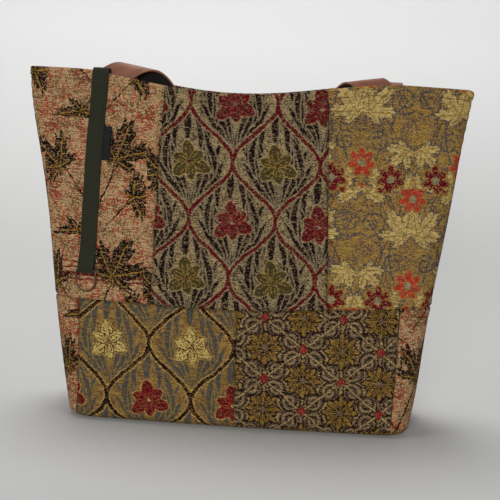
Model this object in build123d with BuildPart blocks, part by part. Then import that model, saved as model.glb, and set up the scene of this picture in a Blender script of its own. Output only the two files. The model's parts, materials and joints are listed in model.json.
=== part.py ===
"""Lined patchwork tote: seamed tapestry patches, hemmed rim, strap handles, key leash with a wire ring.

Millimetres. +Z is up, the bag stands on Z = 0, the front faces -Y and +X is to the viewer's right.
"""
import math
import os

from build123d import *

os.makedirs("parts", exist_ok=True)

# Body: a flat base whose depth closes to a lens-shaped mouth between two side seams
base_width = 338.0
base_depth = 108.0
base_bow = 3.0
base_corner_radius = 24.0
base_edge_radius = 9.0
mouth_width = 438.0
mouth_gusset = 8.0
mouth_bow = 36.0
mouth_corner_radius = 3.2
belly = 6.0
level_shares = (0.0, 0.35, 0.7, 1.0)
belly_shares = (0.0, 0.9, 0.7, 0.0)
corner_limit_share = 0.8

# Rim: level at the sides, sagging in one soft dip left of the middle
rim_height = 345.0
rim_sag = 17.0
rim_dip_place = -20.0
rim_dip_reach = 165.0
rim_points = 13

# Cloth: tapestry with its interfacing, a folded hem and a thin lining
cloth = 1.6
lining_cloth = 0.8
lining_drop = 2.5
hem_depth = 11.0
hem_proud = 0.6
layer_gap = 0.15
overrun = 20.0

# Seams between the patches, as places across the front and a height
upper_seams = (-87.0, 78.0)
lower_seams = (-161.0, -5.0, 156.0)
row_seam_height = 120.0
seam_width = 1.4
seam_depth = 0.7

# Handles: flat straps sewn into the rim, the front one tucked inside, the back one hanging behind
strap_width = 26.0
strap = 2.2
strap_clearance = 1.2
tab_depth = 14.0
front_feet = (-136.5, 114.0)
front_folds = (11.0, 4.5)
front_rise = 1.8
front_lean = 48.0
fold_tilt = 9.0
fold_steps = 6
leg_shift = 14.0
drop_steps = 6
loop_place = -15.0
loop_drop = 198.0
loop_round = 80.0
loop_steps = 7
back_foot = 136.0
back_crest = 2.0
back_leg = 70.0
back_round = 130.0
bend_steps = 4
leg_steps = 3

# Key leash: a folded tape over the rim, with a blank tab in its edge and a ring in its end
leash_from_side = 66.5
leash_width = 17.0
leash = 1.6
leash_tab = 10.0
leash_drop = 195.0
leash_fold = 16.0
leash_clearance = 0.5
tab_reach = 9.0
tab_seat = 4.0
tab_length = 33.0
tab_cloth = 0.5
tab_below_rim = 53.0
tab_fit = 0.05
hang_shares = (0.16, 0.26, 0.36, 0.46, 0.56, 0.66, 0.76, 0.84)
ring_wire = 2.0
ring_inner_width = 18.6
ring_drop = 20.7
ring_bend = 1.6
ring_clearance = 0.1

# Sizes that follow from those above
form_height = rim_height + cloth
hem_inset = cloth + leash + 2 * layer_gap
lining_inset = hem_inset + layer_gap + lining_cloth
strap_layer = lining_inset + strap_clearance + strap / 2
leash_place = leash_from_side - mouth_width / 2
loop_top = rim_height - loop_drop + loop_round
edge_on = Vector(0, 1, 0)


def rim_level(x):
    """Height of the rim at a place across the bag."""
    reach = (x - rim_dip_place) / rim_dip_reach
    if abs(reach) >= 1:
        return rim_height
    return rim_height - rim_sag * (1 - reach ** 2) ** 2


def outline(share, swell_share, inset, height):
    """The bag's outline at a share of its height, smaller by an inset, laid at a height."""
    half_width = (base_width + (mouth_width - base_width) * share) / 2
    half_gusset = (base_depth + (mouth_gusset - base_depth) * share) / 2
    bow = base_bow + (mouth_bow - base_bow) * share + belly * swell_share
    corner = base_corner_radius + (mouth_corner_radius - base_corner_radius) * share
    radius = (half_width ** 2 + bow ** 2) / (2 * bow)
    centre = radius - half_gusset - bow
    gusset = max(half_gusset - inset, lining_cloth)
    width = min(half_width - inset, math.sqrt((radius - inset) ** 2 - (centre + gusset) ** 2))
    front = half_gusset + bow - inset
    with BuildSketch(Plane.XY.offset(height)) as section:
        with BuildLine():
            ThreePointArc((-width, -gusset), (0, -front), (width, -gusset))
            Line((width, -gusset), (width, gusset))
            ThreePointArc((width, gusset), (0, front), (-width, gusset))
            Line((-width, gusset), (-width, -gusset))
        make_face()
        fillet(vertices(), radius=min(max(corner - inset, gusset / 2), gusset * corner_limit_share))
    return section.sketch


def bag_form(inset, floor):
    """The whole bag as one solid, smaller all round by an inset and standing on a floor height."""
    sections = [
        outline(share, swell_share, inset, floor + (form_height - floor) * share)
        for share, swell_share in zip(level_shares, belly_shares)
    ]
    with BuildPart() as form:
        loft(sections=sections)
        fillet(faces().sort_by(Axis.Z)[0].edges(), radius=max(base_edge_radius - inset, lining_cloth))
    return form.part


def above_rim(drop):
    """A block of everything above the rim's line, lowered by a drop."""
    reach = mouth_width / 2 + overrun
    top = form_height + overrun
    places = [reach * (2 * i / (rim_points - 1) - 1) for i in range(rim_points)]
    line = [(x, rim_level(x) - drop) for x in places]
    with BuildPart() as block:
        with BuildSketch(Plane.XZ):
            with BuildLine():
                Spline(line)
                Polyline(line[-1], (reach, top), (-reach, top), line[0])
            make_face()
        extrude(amount=base_depth, both=True)
    return block.part


outer_form = bag_form(0, 0)


def seat(x, height, side):
    """A plane on the outer cloth: x along the rim, y up the cloth, z outwards. Side -1 is the front."""
    ray = Axis((x, side * base_depth, height), (0, -side, 0))
    point, normal = min(outer_form.find_intersection_points(ray), key=lambda hit: -hit[0].Y * side)
    if normal.Y * side < 0:
        normal = -normal
    return Plane(origin=point, x_dir=Vector(0, 0, 1).cross(normal), z_dir=normal)


# Straps are lofted through section planes: x across the strap, z along it


def strap_section(plane, width=strap_width):
    """A handle's flat section on a plane."""
    with BuildSketch(plane) as section:
        Rectangle(width, strap)
    return section.sketch


def front_end(foot, fold):
    """One end of the front handle: leaning out of the rim, folded over backwards, then turning edge on inside.

    Up to the end of the fold its sections are cut along the crease, so that they stay straight as it bends.
    """
    toward = math.copysign(1, -foot)
    root = seat(foot, rim_level(foot), -1)
    tilt, lean = math.radians(fold_tilt), math.radians(front_lean)
    crease = root.x_dir * toward * math.cos(tilt) - root.y_dir * math.sin(tilt)
    up = root.x_dir * toward * math.sin(tilt) + root.y_dir * math.cos(tilt)
    back = -root.z_dir
    rim = root.origin + back * strap_layer
    sections = []
    bends = [fold * math.pi * i / fold_steps for i in range(fold_steps + 1)]
    for climb in [-tab_depth] + [front_rise + bend for bend in bends]:
        turn = max(climb - front_rise, 0) / fold
        rise = min(climb, front_rise) + fold * math.sin(turn)
        place = rim + crease * climb * math.tan(lean) + up * rise + back * fold * (1 - math.cos(turn))
        plane = Plane(origin=place, x_dir=crease, z_dir=up * math.cos(turn) + back * math.sin(turn))
        sections.append(strap_section(plane, strap_width / math.cos(lean)))
    leg = place.X + toward * leg_shift
    heading = crease * math.sin(lean) - up * math.cos(lean)
    with BuildLine() as path:
        Spline(place, (leg, loop_place, loop_top), tangents=(heading, (0, 0, -1)))
    drop = path.edges()[0]
    for i in range(1, drop_steps + 1):
        share = i / drop_steps
        across = crease * (1 - share) + edge_on * share
        sections.append(strap_section(Plane(origin=drop @ share, x_dir=across, z_dir=drop % share)))
    return leg, sections


def half_round(leg, end, top, depth, place):
    """Sections of a strap's round lower end, edge on, from one leg to the middle of its loop."""
    planes = []
    for i in range(1, loop_steps + 1):
        angle = math.pi / 2 * i / loop_steps
        x, z = end + (leg - end) * math.cos(angle), top - depth * math.sin(angle)
        along = Vector((end - leg) * math.sin(angle), 0, -depth * math.cos(angle))
        y, across = place(x, z)
        planes.append(Plane(origin=(x, y, z), x_dir=across, z_dir=along))
    return planes


def back_end(foot):
    """One end of the back handle: up out of the rim, over it and down the back, turning edge on."""
    toward = math.copysign(1, -foot)
    root = seat(foot, rim_level(foot), 1)
    flat = root.x_dir * -toward
    outer = hem_proud + strap_clearance + strap / 2
    bend = (outer + strap_layer) / 2
    crest = rim_height + back_crest - rim_level(foot)
    sewn = root.origin - root.z_dir * strap_layer
    planes = [Plane(origin=sewn - root.y_dir * tab_depth, x_dir=flat, z_dir=root.y_dir)]
    for i in range(bend_steps + 1):
        angle = math.pi * i / bend_steps
        out, up = bend * (1 - math.cos(angle)), crest + bend * math.sin(angle)
        along = root.y_dir * math.cos(angle) + root.z_dir * math.sin(angle)
        planes.append(Plane(origin=sewn + root.z_dir * out + root.y_dir * up, x_dir=flat, z_dir=along))
    for i in range(1, leg_steps + 1):
        turn = math.pi / 2 * i / leg_steps
        height = rim_level(foot) - back_leg * i / leg_steps
        cloth_seat = seat(foot, height, 1)
        out = hem_proud + strap_clearance + (strap * math.cos(turn) + strap_width * math.sin(turn)) / 2
        across = cloth_seat.x_dir * -toward * math.cos(turn) + Vector(0, math.sin(turn), 0)
        planes.append(Plane(origin=cloth_seat.origin + Vector(0, out, 0), x_dir=across, z_dir=(0, 0, -1)))
    return planes


def behind_back(x, z):
    """Where the back handle's round end lies: on edge against the back."""
    return seat(x, z, 1).origin.Y + hem_proud + strap_clearance + strap_width / 2, (0, 1, 0)


def inside_front(x, z):
    """Where the front handle's round end hangs: on edge inside the front."""
    return loop_place, edge_on


front_ends = [front_end(*end) for end in zip(front_feet, front_folds)]
front_middle = sum(leg for leg, sections in front_ends) / 2
with BuildPart() as front_handle:
    for leg, sections in front_ends:
        bottom = half_round(leg, front_middle, loop_top, loop_round, inside_front)
        loft(sections=sections + [strap_section(plane) for plane in bottom], ruled=True)

back_left = back_end(-back_foot)
back_bottom = half_round(-back_foot, 0, back_left[-1].origin.Z, back_round, behind_back)
with BuildPart() as back_handle:
    loft(sections=[strap_section(plane) for plane in back_left + back_bottom], ruled=True)
    mirror(about=Plane.YZ)

# Key leash, drawn in the upright plane that stands square to the cloth where it hangs

leash_edges = (leash_place - leash_width / 2, leash_place + leash_width / 2)
leash_rim = max(rim_level(x) for x in leash_edges) + layer_gap
leash_seat = seat(leash_place, leash_rim - leash_drop / 2, -1)
leash_across = leash_seat.x_dir
leash_plane = Plane(
    origin=(leash_seat.origin.X, leash_seat.origin.Y, 0),
    x_dir=leash_across.cross(Vector(0, 0, 1)),
    z_dir=-leash_across,
)


def leash_cloth(height):
    """How far out the cloth stands behind the leash at a height."""
    start = leash_plane.origin + leash_plane.x_dir * base_depth + Vector(0, 0, height)
    hits = outer_form.find_intersection_points(Axis(tuple(start), tuple(-leash_plane.x_dir)))
    return max((hit[0] - leash_plane.origin).dot(leash_plane.x_dir) for hit in hits)


bar_height = leash_rim - leash_drop
bar_radius = ring_wire / 2 + ring_clearance
loop_radius = bar_radius + leash
bar_out = leash_cloth(bar_height) + leash_clearance + loop_radius
hem_front = leash_cloth(leash_rim) + hem_proud + leash_clearance
hem_back = leash_cloth(leash_rim) - cloth - layer_gap
tab_foot = leash_cloth(leash_rim - leash_tab) - cloth - layer_gap
crest_out = (hem_front + hem_back) / 2
crest_radius = (hem_front - hem_back) / 2
fold_height = bar_height + leash_fold
fold_out = leash_cloth(fold_height) + leash_clearance
hang_heights = [leash_rim - leash_drop * share for share in hang_shares]
below_hem = leash_rim - hem_depth - leash
hang_points = [(leash_cloth(below_hem) + hem_proud + leash_clearance, below_hem)]
hang_points += [(leash_cloth(z) + leash_clearance, z) for z in hang_heights]
straight_down = (0, -1)
straight_up = (0, 1)
tab_middle = leash_rim - tab_below_rim - tab_length / 2
tab_out = leash_cloth(tab_middle) + leash_clearance + leash / 2
tab_rise = leash_cloth(tab_middle + tab_length / 2) - leash_cloth(tab_middle - tab_length / 2)
tab_tilt = -math.degrees(math.atan2(tab_rise, tab_length))
tab_plane = leash_plane.offset(tab_seat - leash_width / 2)

with BuildPart() as label_tab:
    with BuildSketch(tab_plane):
        with Locations((tab_out, tab_middle)):
            Rectangle(tab_cloth, tab_length, rotation=tab_tilt)
    extrude(amount=-tab_seat - tab_reach)

with BuildPart() as key_leash:
    with BuildSketch(leash_plane):
        with BuildLine():
            Line((tab_foot - leash, leash_rim - leash_tab), (hem_back - leash, leash_rim))
            ThreePointArc(
                (hem_back - leash, leash_rim),
                (crest_out, leash_rim + crest_radius + leash),
                (hem_front + leash, leash_rim),
            )
            Spline(
                [(hem_front + leash, leash_rim)]
                + [(out + leash, z) for out, z in hang_points]
                + [(fold_out + 2 * leash, fold_height), (bar_out + loop_radius, bar_height)],
                tangents=[straight_down, straight_down],
            )
            ThreePointArc(
                (bar_out + loop_radius, bar_height),
                (bar_out, bar_height - loop_radius),
                (bar_out - loop_radius, bar_height),
            )
            Polyline(
                (bar_out - loop_radius, bar_height), (fold_out, fold_height), (fold_out + leash, fold_height)
            )
            Spline(
                [(fold_out + leash, fold_height)] + hang_points[::-1] + [(hem_front, leash_rim)],
                tangents=[straight_up, straight_up],
            )
            ThreePointArc(
                (hem_front, leash_rim), (crest_out, leash_rim + crest_radius), (hem_back, leash_rim)
            )
            Polyline(
                (hem_back, leash_rim), (tab_foot, leash_rim - leash_tab), (tab_foot - leash, leash_rim - leash_tab)
            )
        make_face()
        with Locations((bar_out, bar_height)):
            Circle(bar_radius, mode=Mode.SUBTRACT)
    extrude(amount=leash_width / 2, both=True)
    with BuildSketch(tab_plane):
        with Locations((tab_out, tab_middle)):
            Rectangle(tab_cloth + 2 * tab_fit, tab_length + 2 * tab_fit, rotation=tab_tilt)
    extrude(amount=-leash_width, mode=Mode.SUBTRACT)

# Ring: a wire bent to a D, its straight bar inside the leash's loop

bar_centre = leash_plane.from_local_coords((bar_out, bar_height, 0))
ring_plane = Plane(origin=bar_centre, x_dir=leash_across, z_dir=leash_plane.x_dir)
half = (ring_inner_width + ring_wire) / 2
side_foot = half - ring_drop

with BuildPart() as leash_ring:
    with BuildLine(ring_plane) as wire:
        Line((ring_bend - half, 0), (half - ring_bend, 0))
        RadiusArc((half - ring_bend, 0), (half, -ring_bend), ring_bend)
        Line((half, -ring_bend), (half, side_foot))
        ThreePointArc((half, side_foot), (0, -ring_drop), (-half, side_foot))
        Line((-half, side_foot), (-half, -ring_bend))
        RadiusArc((-half, -ring_bend), (ring_bend - half, 0), ring_bend)
    with BuildSketch(Plane(origin=wire.line @ 0, z_dir=wire.line % 0)):
        Circle(ring_wire / 2)
    sweep(path=wire.wires()[0])

# Outer cloth: one shell with its hem, seam lines and the leash's slot, then divided into patches

with BuildPart() as hem:
    add(bag_form(-hem_proud, 0))
    add(bag_form(hem_inset, cloth), mode=Mode.SUBTRACT)
    add(above_rim(hem_depth), mode=Mode.INTERSECT)

with BuildPart() as seam_lines:
    for x in upper_seams:
        with Locations((x, 0, row_seam_height)):
            Box(seam_width, 2 * base_depth, form_height, align=(Align.CENTER, Align.CENTER, Align.MIN))
    for x in lower_seams:
        with Locations((x, 0, row_seam_height)):
            Box(seam_width, 2 * base_depth, form_height, align=(Align.CENTER, Align.CENTER, Align.MAX))
    with Locations((0, 0, row_seam_height)):
        Box(2 * mouth_width, 2 * base_depth, seam_width)
    with Locations((0, 0, base_edge_radius)):
        Box(2 * mouth_width, seam_width, form_height, align=(Align.CENTER, Align.CENTER, Align.MIN))
    add(bag_form(seam_depth, seam_depth), mode=Mode.SUBTRACT)

with BuildPart() as leash_slot:
    with BuildSketch(leash_plane):
        with BuildLine():
            foot, head = leash_rim - leash_tab - layer_gap, leash_rim + leash
            Polyline(
                (tab_foot + layer_gap, foot),
                (hem_back + layer_gap, head),
                (hem_back - 2 * leash, head),
                (tab_foot - 2 * leash, foot),
                close=True,
            )
        make_face()
    extrude(amount=leash_width / 2 + layer_gap, both=True)

with BuildPart() as shell:
    add(outer_form)
    add(bag_form(cloth, cloth), mode=Mode.SUBTRACT)
    add(hem.part)
    add(above_rim(0), mode=Mode.SUBTRACT)
    add(seam_lines.part, mode=Mode.SUBTRACT)
    add(leash_slot.part, mode=Mode.SUBTRACT)

with BuildPart() as lining:
    add(bag_form(hem_inset + layer_gap, cloth + layer_gap))
    add(bag_form(lining_inset, cloth + layer_gap + lining_cloth), mode=Mode.SUBTRACT)
    add(above_rim(lining_drop), mode=Mode.SUBTRACT)


def patch(left, right, bottom, top, side):
    """One patch of the outer cloth: what lies between two seams, two heights and the side seams."""
    middle = ((left + right) / 2, side * base_depth / 2, (bottom + top) / 2)
    with BuildPart() as piece:
        add(shell.part)
        with Locations(middle):
            Box(right - left, base_depth, top - bottom, mode=Mode.INTERSECT)
    return piece


pieces = {
    "lining": lining,
    "front_handle": front_handle,
    "back_handle": back_handle,
    "key_leash": key_leash,
    "label_tab": label_tab,
    "leash_ring": leash_ring,
}
rows = (
    ("upper", ("left", "centre", "right"), upper_seams, row_seam_height, form_height),
    ("lower", ("left_strip", "left", "right", "right_strip"), lower_seams, -overrun, row_seam_height),
)
for face, side in (("front", -1), ("back", 1)):
    for row, names, seams, bottom, top in rows:
        edges_across = (-mouth_width, *seams, mouth_width)
        for name, left, right in zip(names, edges_across[:-1], edges_across[1:]):
            pieces[f"{face}_{row}_{name}"] = patch(left, right, bottom, top, side)

for name, piece in pieces.items():
    piece.part.label = name
    export_step(piece.part, f"parts/{name}.step")
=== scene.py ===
"""Looks of a lined patchwork tote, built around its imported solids.

Metres, with woven patterns in millimetres. +Z is up, the bag stands on Z = 0 and its front faces -Y.
"""
import json
import math

import bpy
import numpy as np
from bpy.props import FloatProperty, FloatVectorProperty, PointerProperty
from mathutils import Matrix, Vector
from mathutils.geometry import interpolate_bezier


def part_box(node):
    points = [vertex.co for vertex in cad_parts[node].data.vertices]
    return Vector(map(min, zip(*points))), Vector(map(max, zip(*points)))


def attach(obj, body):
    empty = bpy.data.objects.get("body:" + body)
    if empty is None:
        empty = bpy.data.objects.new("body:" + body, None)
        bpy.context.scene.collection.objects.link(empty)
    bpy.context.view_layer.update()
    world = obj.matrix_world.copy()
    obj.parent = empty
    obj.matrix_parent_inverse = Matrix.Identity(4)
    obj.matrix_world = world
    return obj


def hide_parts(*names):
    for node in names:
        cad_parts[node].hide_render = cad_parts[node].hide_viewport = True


bl_info = {
    "name": "Patchwork tote",
    "version": (1, 0, 0),
    "blender": (4, 5, 0),
    "location": "View3D > Sidebar > Tote",
    "description": "Tapestry patches, lining, straps and key leash around a tote's solids",
    "category": "Object",
}

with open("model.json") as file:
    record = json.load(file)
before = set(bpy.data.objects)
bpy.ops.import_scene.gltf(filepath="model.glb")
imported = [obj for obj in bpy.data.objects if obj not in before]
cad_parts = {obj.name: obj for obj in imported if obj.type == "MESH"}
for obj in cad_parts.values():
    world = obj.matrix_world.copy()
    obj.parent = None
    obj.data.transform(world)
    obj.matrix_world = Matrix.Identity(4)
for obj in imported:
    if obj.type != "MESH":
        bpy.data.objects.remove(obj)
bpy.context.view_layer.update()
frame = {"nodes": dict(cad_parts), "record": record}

FRONT, BACK = -1, 1
SIDES = (("front", FRONT), ("back", BACK))
MM = 0.001
PHOTO_PIXELS = 500


# Sizes and colours that a user would change


def length(name, description, default):
    return FloatProperty(name=name, description=description, default=default, unit="LENGTH", precision=4)


def angle(name, description, degrees):
    return FloatProperty(name=name, description=description, default=math.radians(degrees), unit="ROTATION")


def amount(name, description, default):
    return FloatProperty(name=name, description=description, default=default)


def dye(name, description, red, green, blue):
    """A colour as it shows on screen, from 0 to 255."""
    shown = (red / 255, green / 255, blue / 255)
    return FloatVectorProperty(
        name=name, description=description, default=shown, subtype="COLOR_GAMMA", size=3, min=0, max=1
    )


class ToteSizes(bpy.types.PropertyGroup):
    base_width: length("Base width", "Width of the flat base", 0.338)
    base_depth: length("Base depth", "Depth of the flat base at its ends", 0.108)
    base_bow: length("Base bow", "How far the base's long edges bow out", 0.003)
    base_corner: length("Base corner", "Radius of the body's corners at the base", 0.024)
    base_edge: length("Base edge", "Radius where the walls turn under the base", 0.009)
    mouth_width: length("Mouth width", "Width between the side seams at the rim", 0.438)
    mouth_gusset: length("Mouth gusset", "Depth of the side seams at the rim", 0.008)
    mouth_bow: length("Mouth bow", "How far the front and back bow out at the rim", 0.036)
    mouth_corner: length("Mouth corner", "Radius of the body's corners at the rim", 0.0032)
    belly: length("Belly", "Extra swell half way up", 0.006)
    left_flare: length("Left flare", "How far the upper left side stands out", 0.006)
    left_sag: length("Left sag", "How far the lower left side stands out", 0.0035)
    right_flare: length("Right flare", "How far the lower right side stands out", 0.005)
    right_tuck: length("Right tuck", "How far the upper right side draws in", 0.003)
    rim_drop: length("Rim drop", "How much lower the rim ends at the right side", 0.0022)
    rim_corner: length("Rim corner", "Radius of the rim's soft corner at the right side", 0.005)
    rim_height: length("Rim height", "Height of the rim at its ends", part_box("front_upper_right")[1].z)
    rim_sag: length("Rim sag", "Depth of the rim's dip", 0.017)
    rim_dip_place: length("Rim dip place", "Where the rim's dip is deepest", -0.020)
    rim_dip_reach: length("Rim dip reach", "Half length of the rim's dip", 0.165)
    seam_tilt: length("Seam tilt", "Rise of the row seam from the middle to the right side", 0.009)
    cloth: length("Cloth", "Thickness of the tapestry", 0.0016)
    lining: length("Lining", "Thickness of the lining", 0.0008)
    lining_inset: length("Lining inset", "From the cloth's outer face to the lining's inner face", 0.00445)
    lining_drop: length("Lining drop", "How far the lining ends below the rim", 0.0025)
    hem_depth: length("Hem depth", "Depth of the folded hem", 0.011)
    hem_proud: length("Hem proud", "How far the hem stands out", 0.0006)
    stitch_drop: length("Stitch drop", "From the rim down to its row of stitches", 0.0095)
    seam_depth: length("Seam depth", "How far the cloth is drawn in at a seam", 0.0022)
    strap_width: length("Strap width", "Width of the handles", 0.026)
    strap: length("Strap", "Thickness of the handles", 0.0022)
    leash_width: length("Leash width", "Width of the key leash", 0.017)
    leash: length("Leash", "Thickness of the key leash", 0.0016)


class StageSettings(bpy.types.PropertyGroup):
    eye: FloatVectorProperty(
        name="Eye", description="Where the camera stands", default=(0.044, -1.0, 0.345), subtype="TRANSLATION"
    )
    yaw: angle("Yaw", "Camera turned towards the right", -2.28)
    pitch: angle("Pitch", "Camera tipped down", 9.84)
    roll: angle("Roll", "Camera turned about its own line of sight", 2.95)
    focal_pixels: amount("Focal length", "In pixels of a 500 pixel image", 996.0)
    # Painted fall-off of the light: the floor's grey blends into the paler backdrop colour towards the back
    # and up the sweep
    floor: dye("Floor", "Colour of the floor", 200, 200, 198)
    backdrop: dye("Backdrop", "Colour of the backdrop", 222, 222, 222)
    sky: amount("Sky", "Strength of the light from all round", 0.11)
    key: amount("Key", "Power of the large lamp overhead, a little behind the bag", 24.0)
    fill: amount("Fill", "Power of the broad low lamp in front", 76.0)
    pale: amount("Pale", "How bright the surroundings look beyond the floor", 0.75)
    # Painted light: the backdrop glows for the camera alone, paler towards its top
    painted_glow: amount("Glow", "How much paler the backdrop shows towards its top", 0.17)


class LatticeIvory(bpy.types.PropertyGroup):
    ground: dye("Ground", "Pale yarn between the leaves", 156, 136, 96)
    fleck: dye("Fleck", "Darker yarn in the ground", 78, 60, 46)
    line: dye("Line", "The lattice", 92, 14, 24)
    edge: dye("Edge", "Pale edges of the lattice", 150, 132, 96)
    leaf: dye("Leaf", "The long leaves", 26, 11, 14)
    rib: dye("Rib", "Edges and ribs of the leaves", 132, 118, 90)
    bloom: dye("Bloom", "Petals of every other flower", 86, 18, 22)
    bloom_rim: dye("Bloom outline", "Outline of those petals", 132, 50, 42)
    other_bloom: dye("Other bloom", "Petals of the rest", 66, 58, 28)
    other_rim: dye("Other outline", "Outline of the rest", 140, 116, 52)


class LatticeOchre(bpy.types.PropertyGroup):
    ground: dye("Ground", "Gold yarn between the leaves", 148, 116, 60)
    fleck: dye("Fleck", "Mauve-brown yarn in the ground", 110, 76, 52)
    line: dye("Line", "The lattice", 30, 14, 12)
    edge: dye("Edge", "Pale edges of the lattice", 172, 142, 78)
    leaf: dye("Leaf", "The long leaves", 70, 73, 70)
    rib: dye("Rib", "Edges and ribs of the leaves", 132, 108, 58)
    bloom: dye("Bloom", "Petals of every other flower", 192, 168, 98)
    bloom_rim: dye("Bloom outline", "Outline of those petals", 62, 34, 22)
    other_bloom: dye("Other bloom", "Petals of the rest", 96, 14, 20)
    other_rim: dye("Other outline", "Outline of the rest", 142, 44, 40)


class GardenGold(bpy.types.PropertyGroup):
    ground: dye("Ground", "Gold yarn of the ground", 156, 122, 58)
    fleck: dye("Fleck", "Grey-mauve yarn in the ground", 102, 80, 64)
    leaf: dye("Leaf", "Broad pale leaves", 190, 164, 100)
    rim: dye("Rim", "Blue-grey outlines and scrolls", 76, 74, 74)
    stem: dye("Stem", "Climbing stems", 104, 66, 28)
    bloom: dye("Bloom", "Large flowers", 178, 52, 36)
    other_bloom: dye("Other bloom", "Small flowers", 104, 14, 24)
    petal_rim: dye("Petal outline", "Outline of the petals", 150, 112, 50)
    heart: dye("Heart", "Hearts of the flowers", 140, 130, 98)


class LeafyCoral(bpy.types.PropertyGroup):
    ground: dye("Ground", "Tan yarn of the ground", 178, 146, 106)
    fleck: dye("Fleck", "Coral yarn worked into the ground", 166, 68, 52)
    shade: dye("Shade", "Olive yarn in the ground", 98, 78, 48)
    leaf: dye("Leaf", "Dark leaf sprays", 26, 17, 13)
    vein: dye("Vein", "Golden veins of the leaves", 150, 112, 38)
    band: dye("Band", "Dark red bands", 100, 26, 26)


class RosetteDyes(bpy.types.PropertyGroup):
    ground: dye("Ground", "Pale yarn of the ground", 158, 134, 90)
    fleck: dye("Fleck", "Mauve yarn in the ground", 90, 68, 54)
    scroll: dye("Scroll", "Grey-mauve scrolls", 104, 86, 68)
    bloom: dye("Bloom", "Golden rosettes", 140, 106, 40)
    rim: dye("Rim", "Outline of the rosettes and scrolls", 34, 22, 16)
    lozenge: dye("Lozenge", "Red lozenges", 140, 34, 36)


class PlainDyes(bpy.types.PropertyGroup):
    lining: dye("Lining", "Lining cloth", 22, 21, 22)
    strap: dye("Strap", "Face of the handles", 150, 98, 72)
    strap_dark: dye("Strap shade", "Darker grain of the handles", 92, 50, 34)
    # Painted shade: a near-black colour for the handles' undersides, where shade falls
    strap_back: dye("Strap back", "Backing of the handles", 26, 22, 20)
    leash: dye("Leash", "Yarn of the key leash", 38, 39, 28)
    label: dye("Label", "Blank label", 20, 20, 22)
    thread: dye("Thread", "Sewing thread", 58, 40, 30)
    wire: dye("Wire", "Ring wire", 60, 48, 40)
    wire_worn: dye("Worn wire", "Ring wire where it rubs", 110, 92, 74)


# The bag's outer cloth as a surface


def blend_between(start, end, share):
    return start + (end - start) * share


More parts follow.
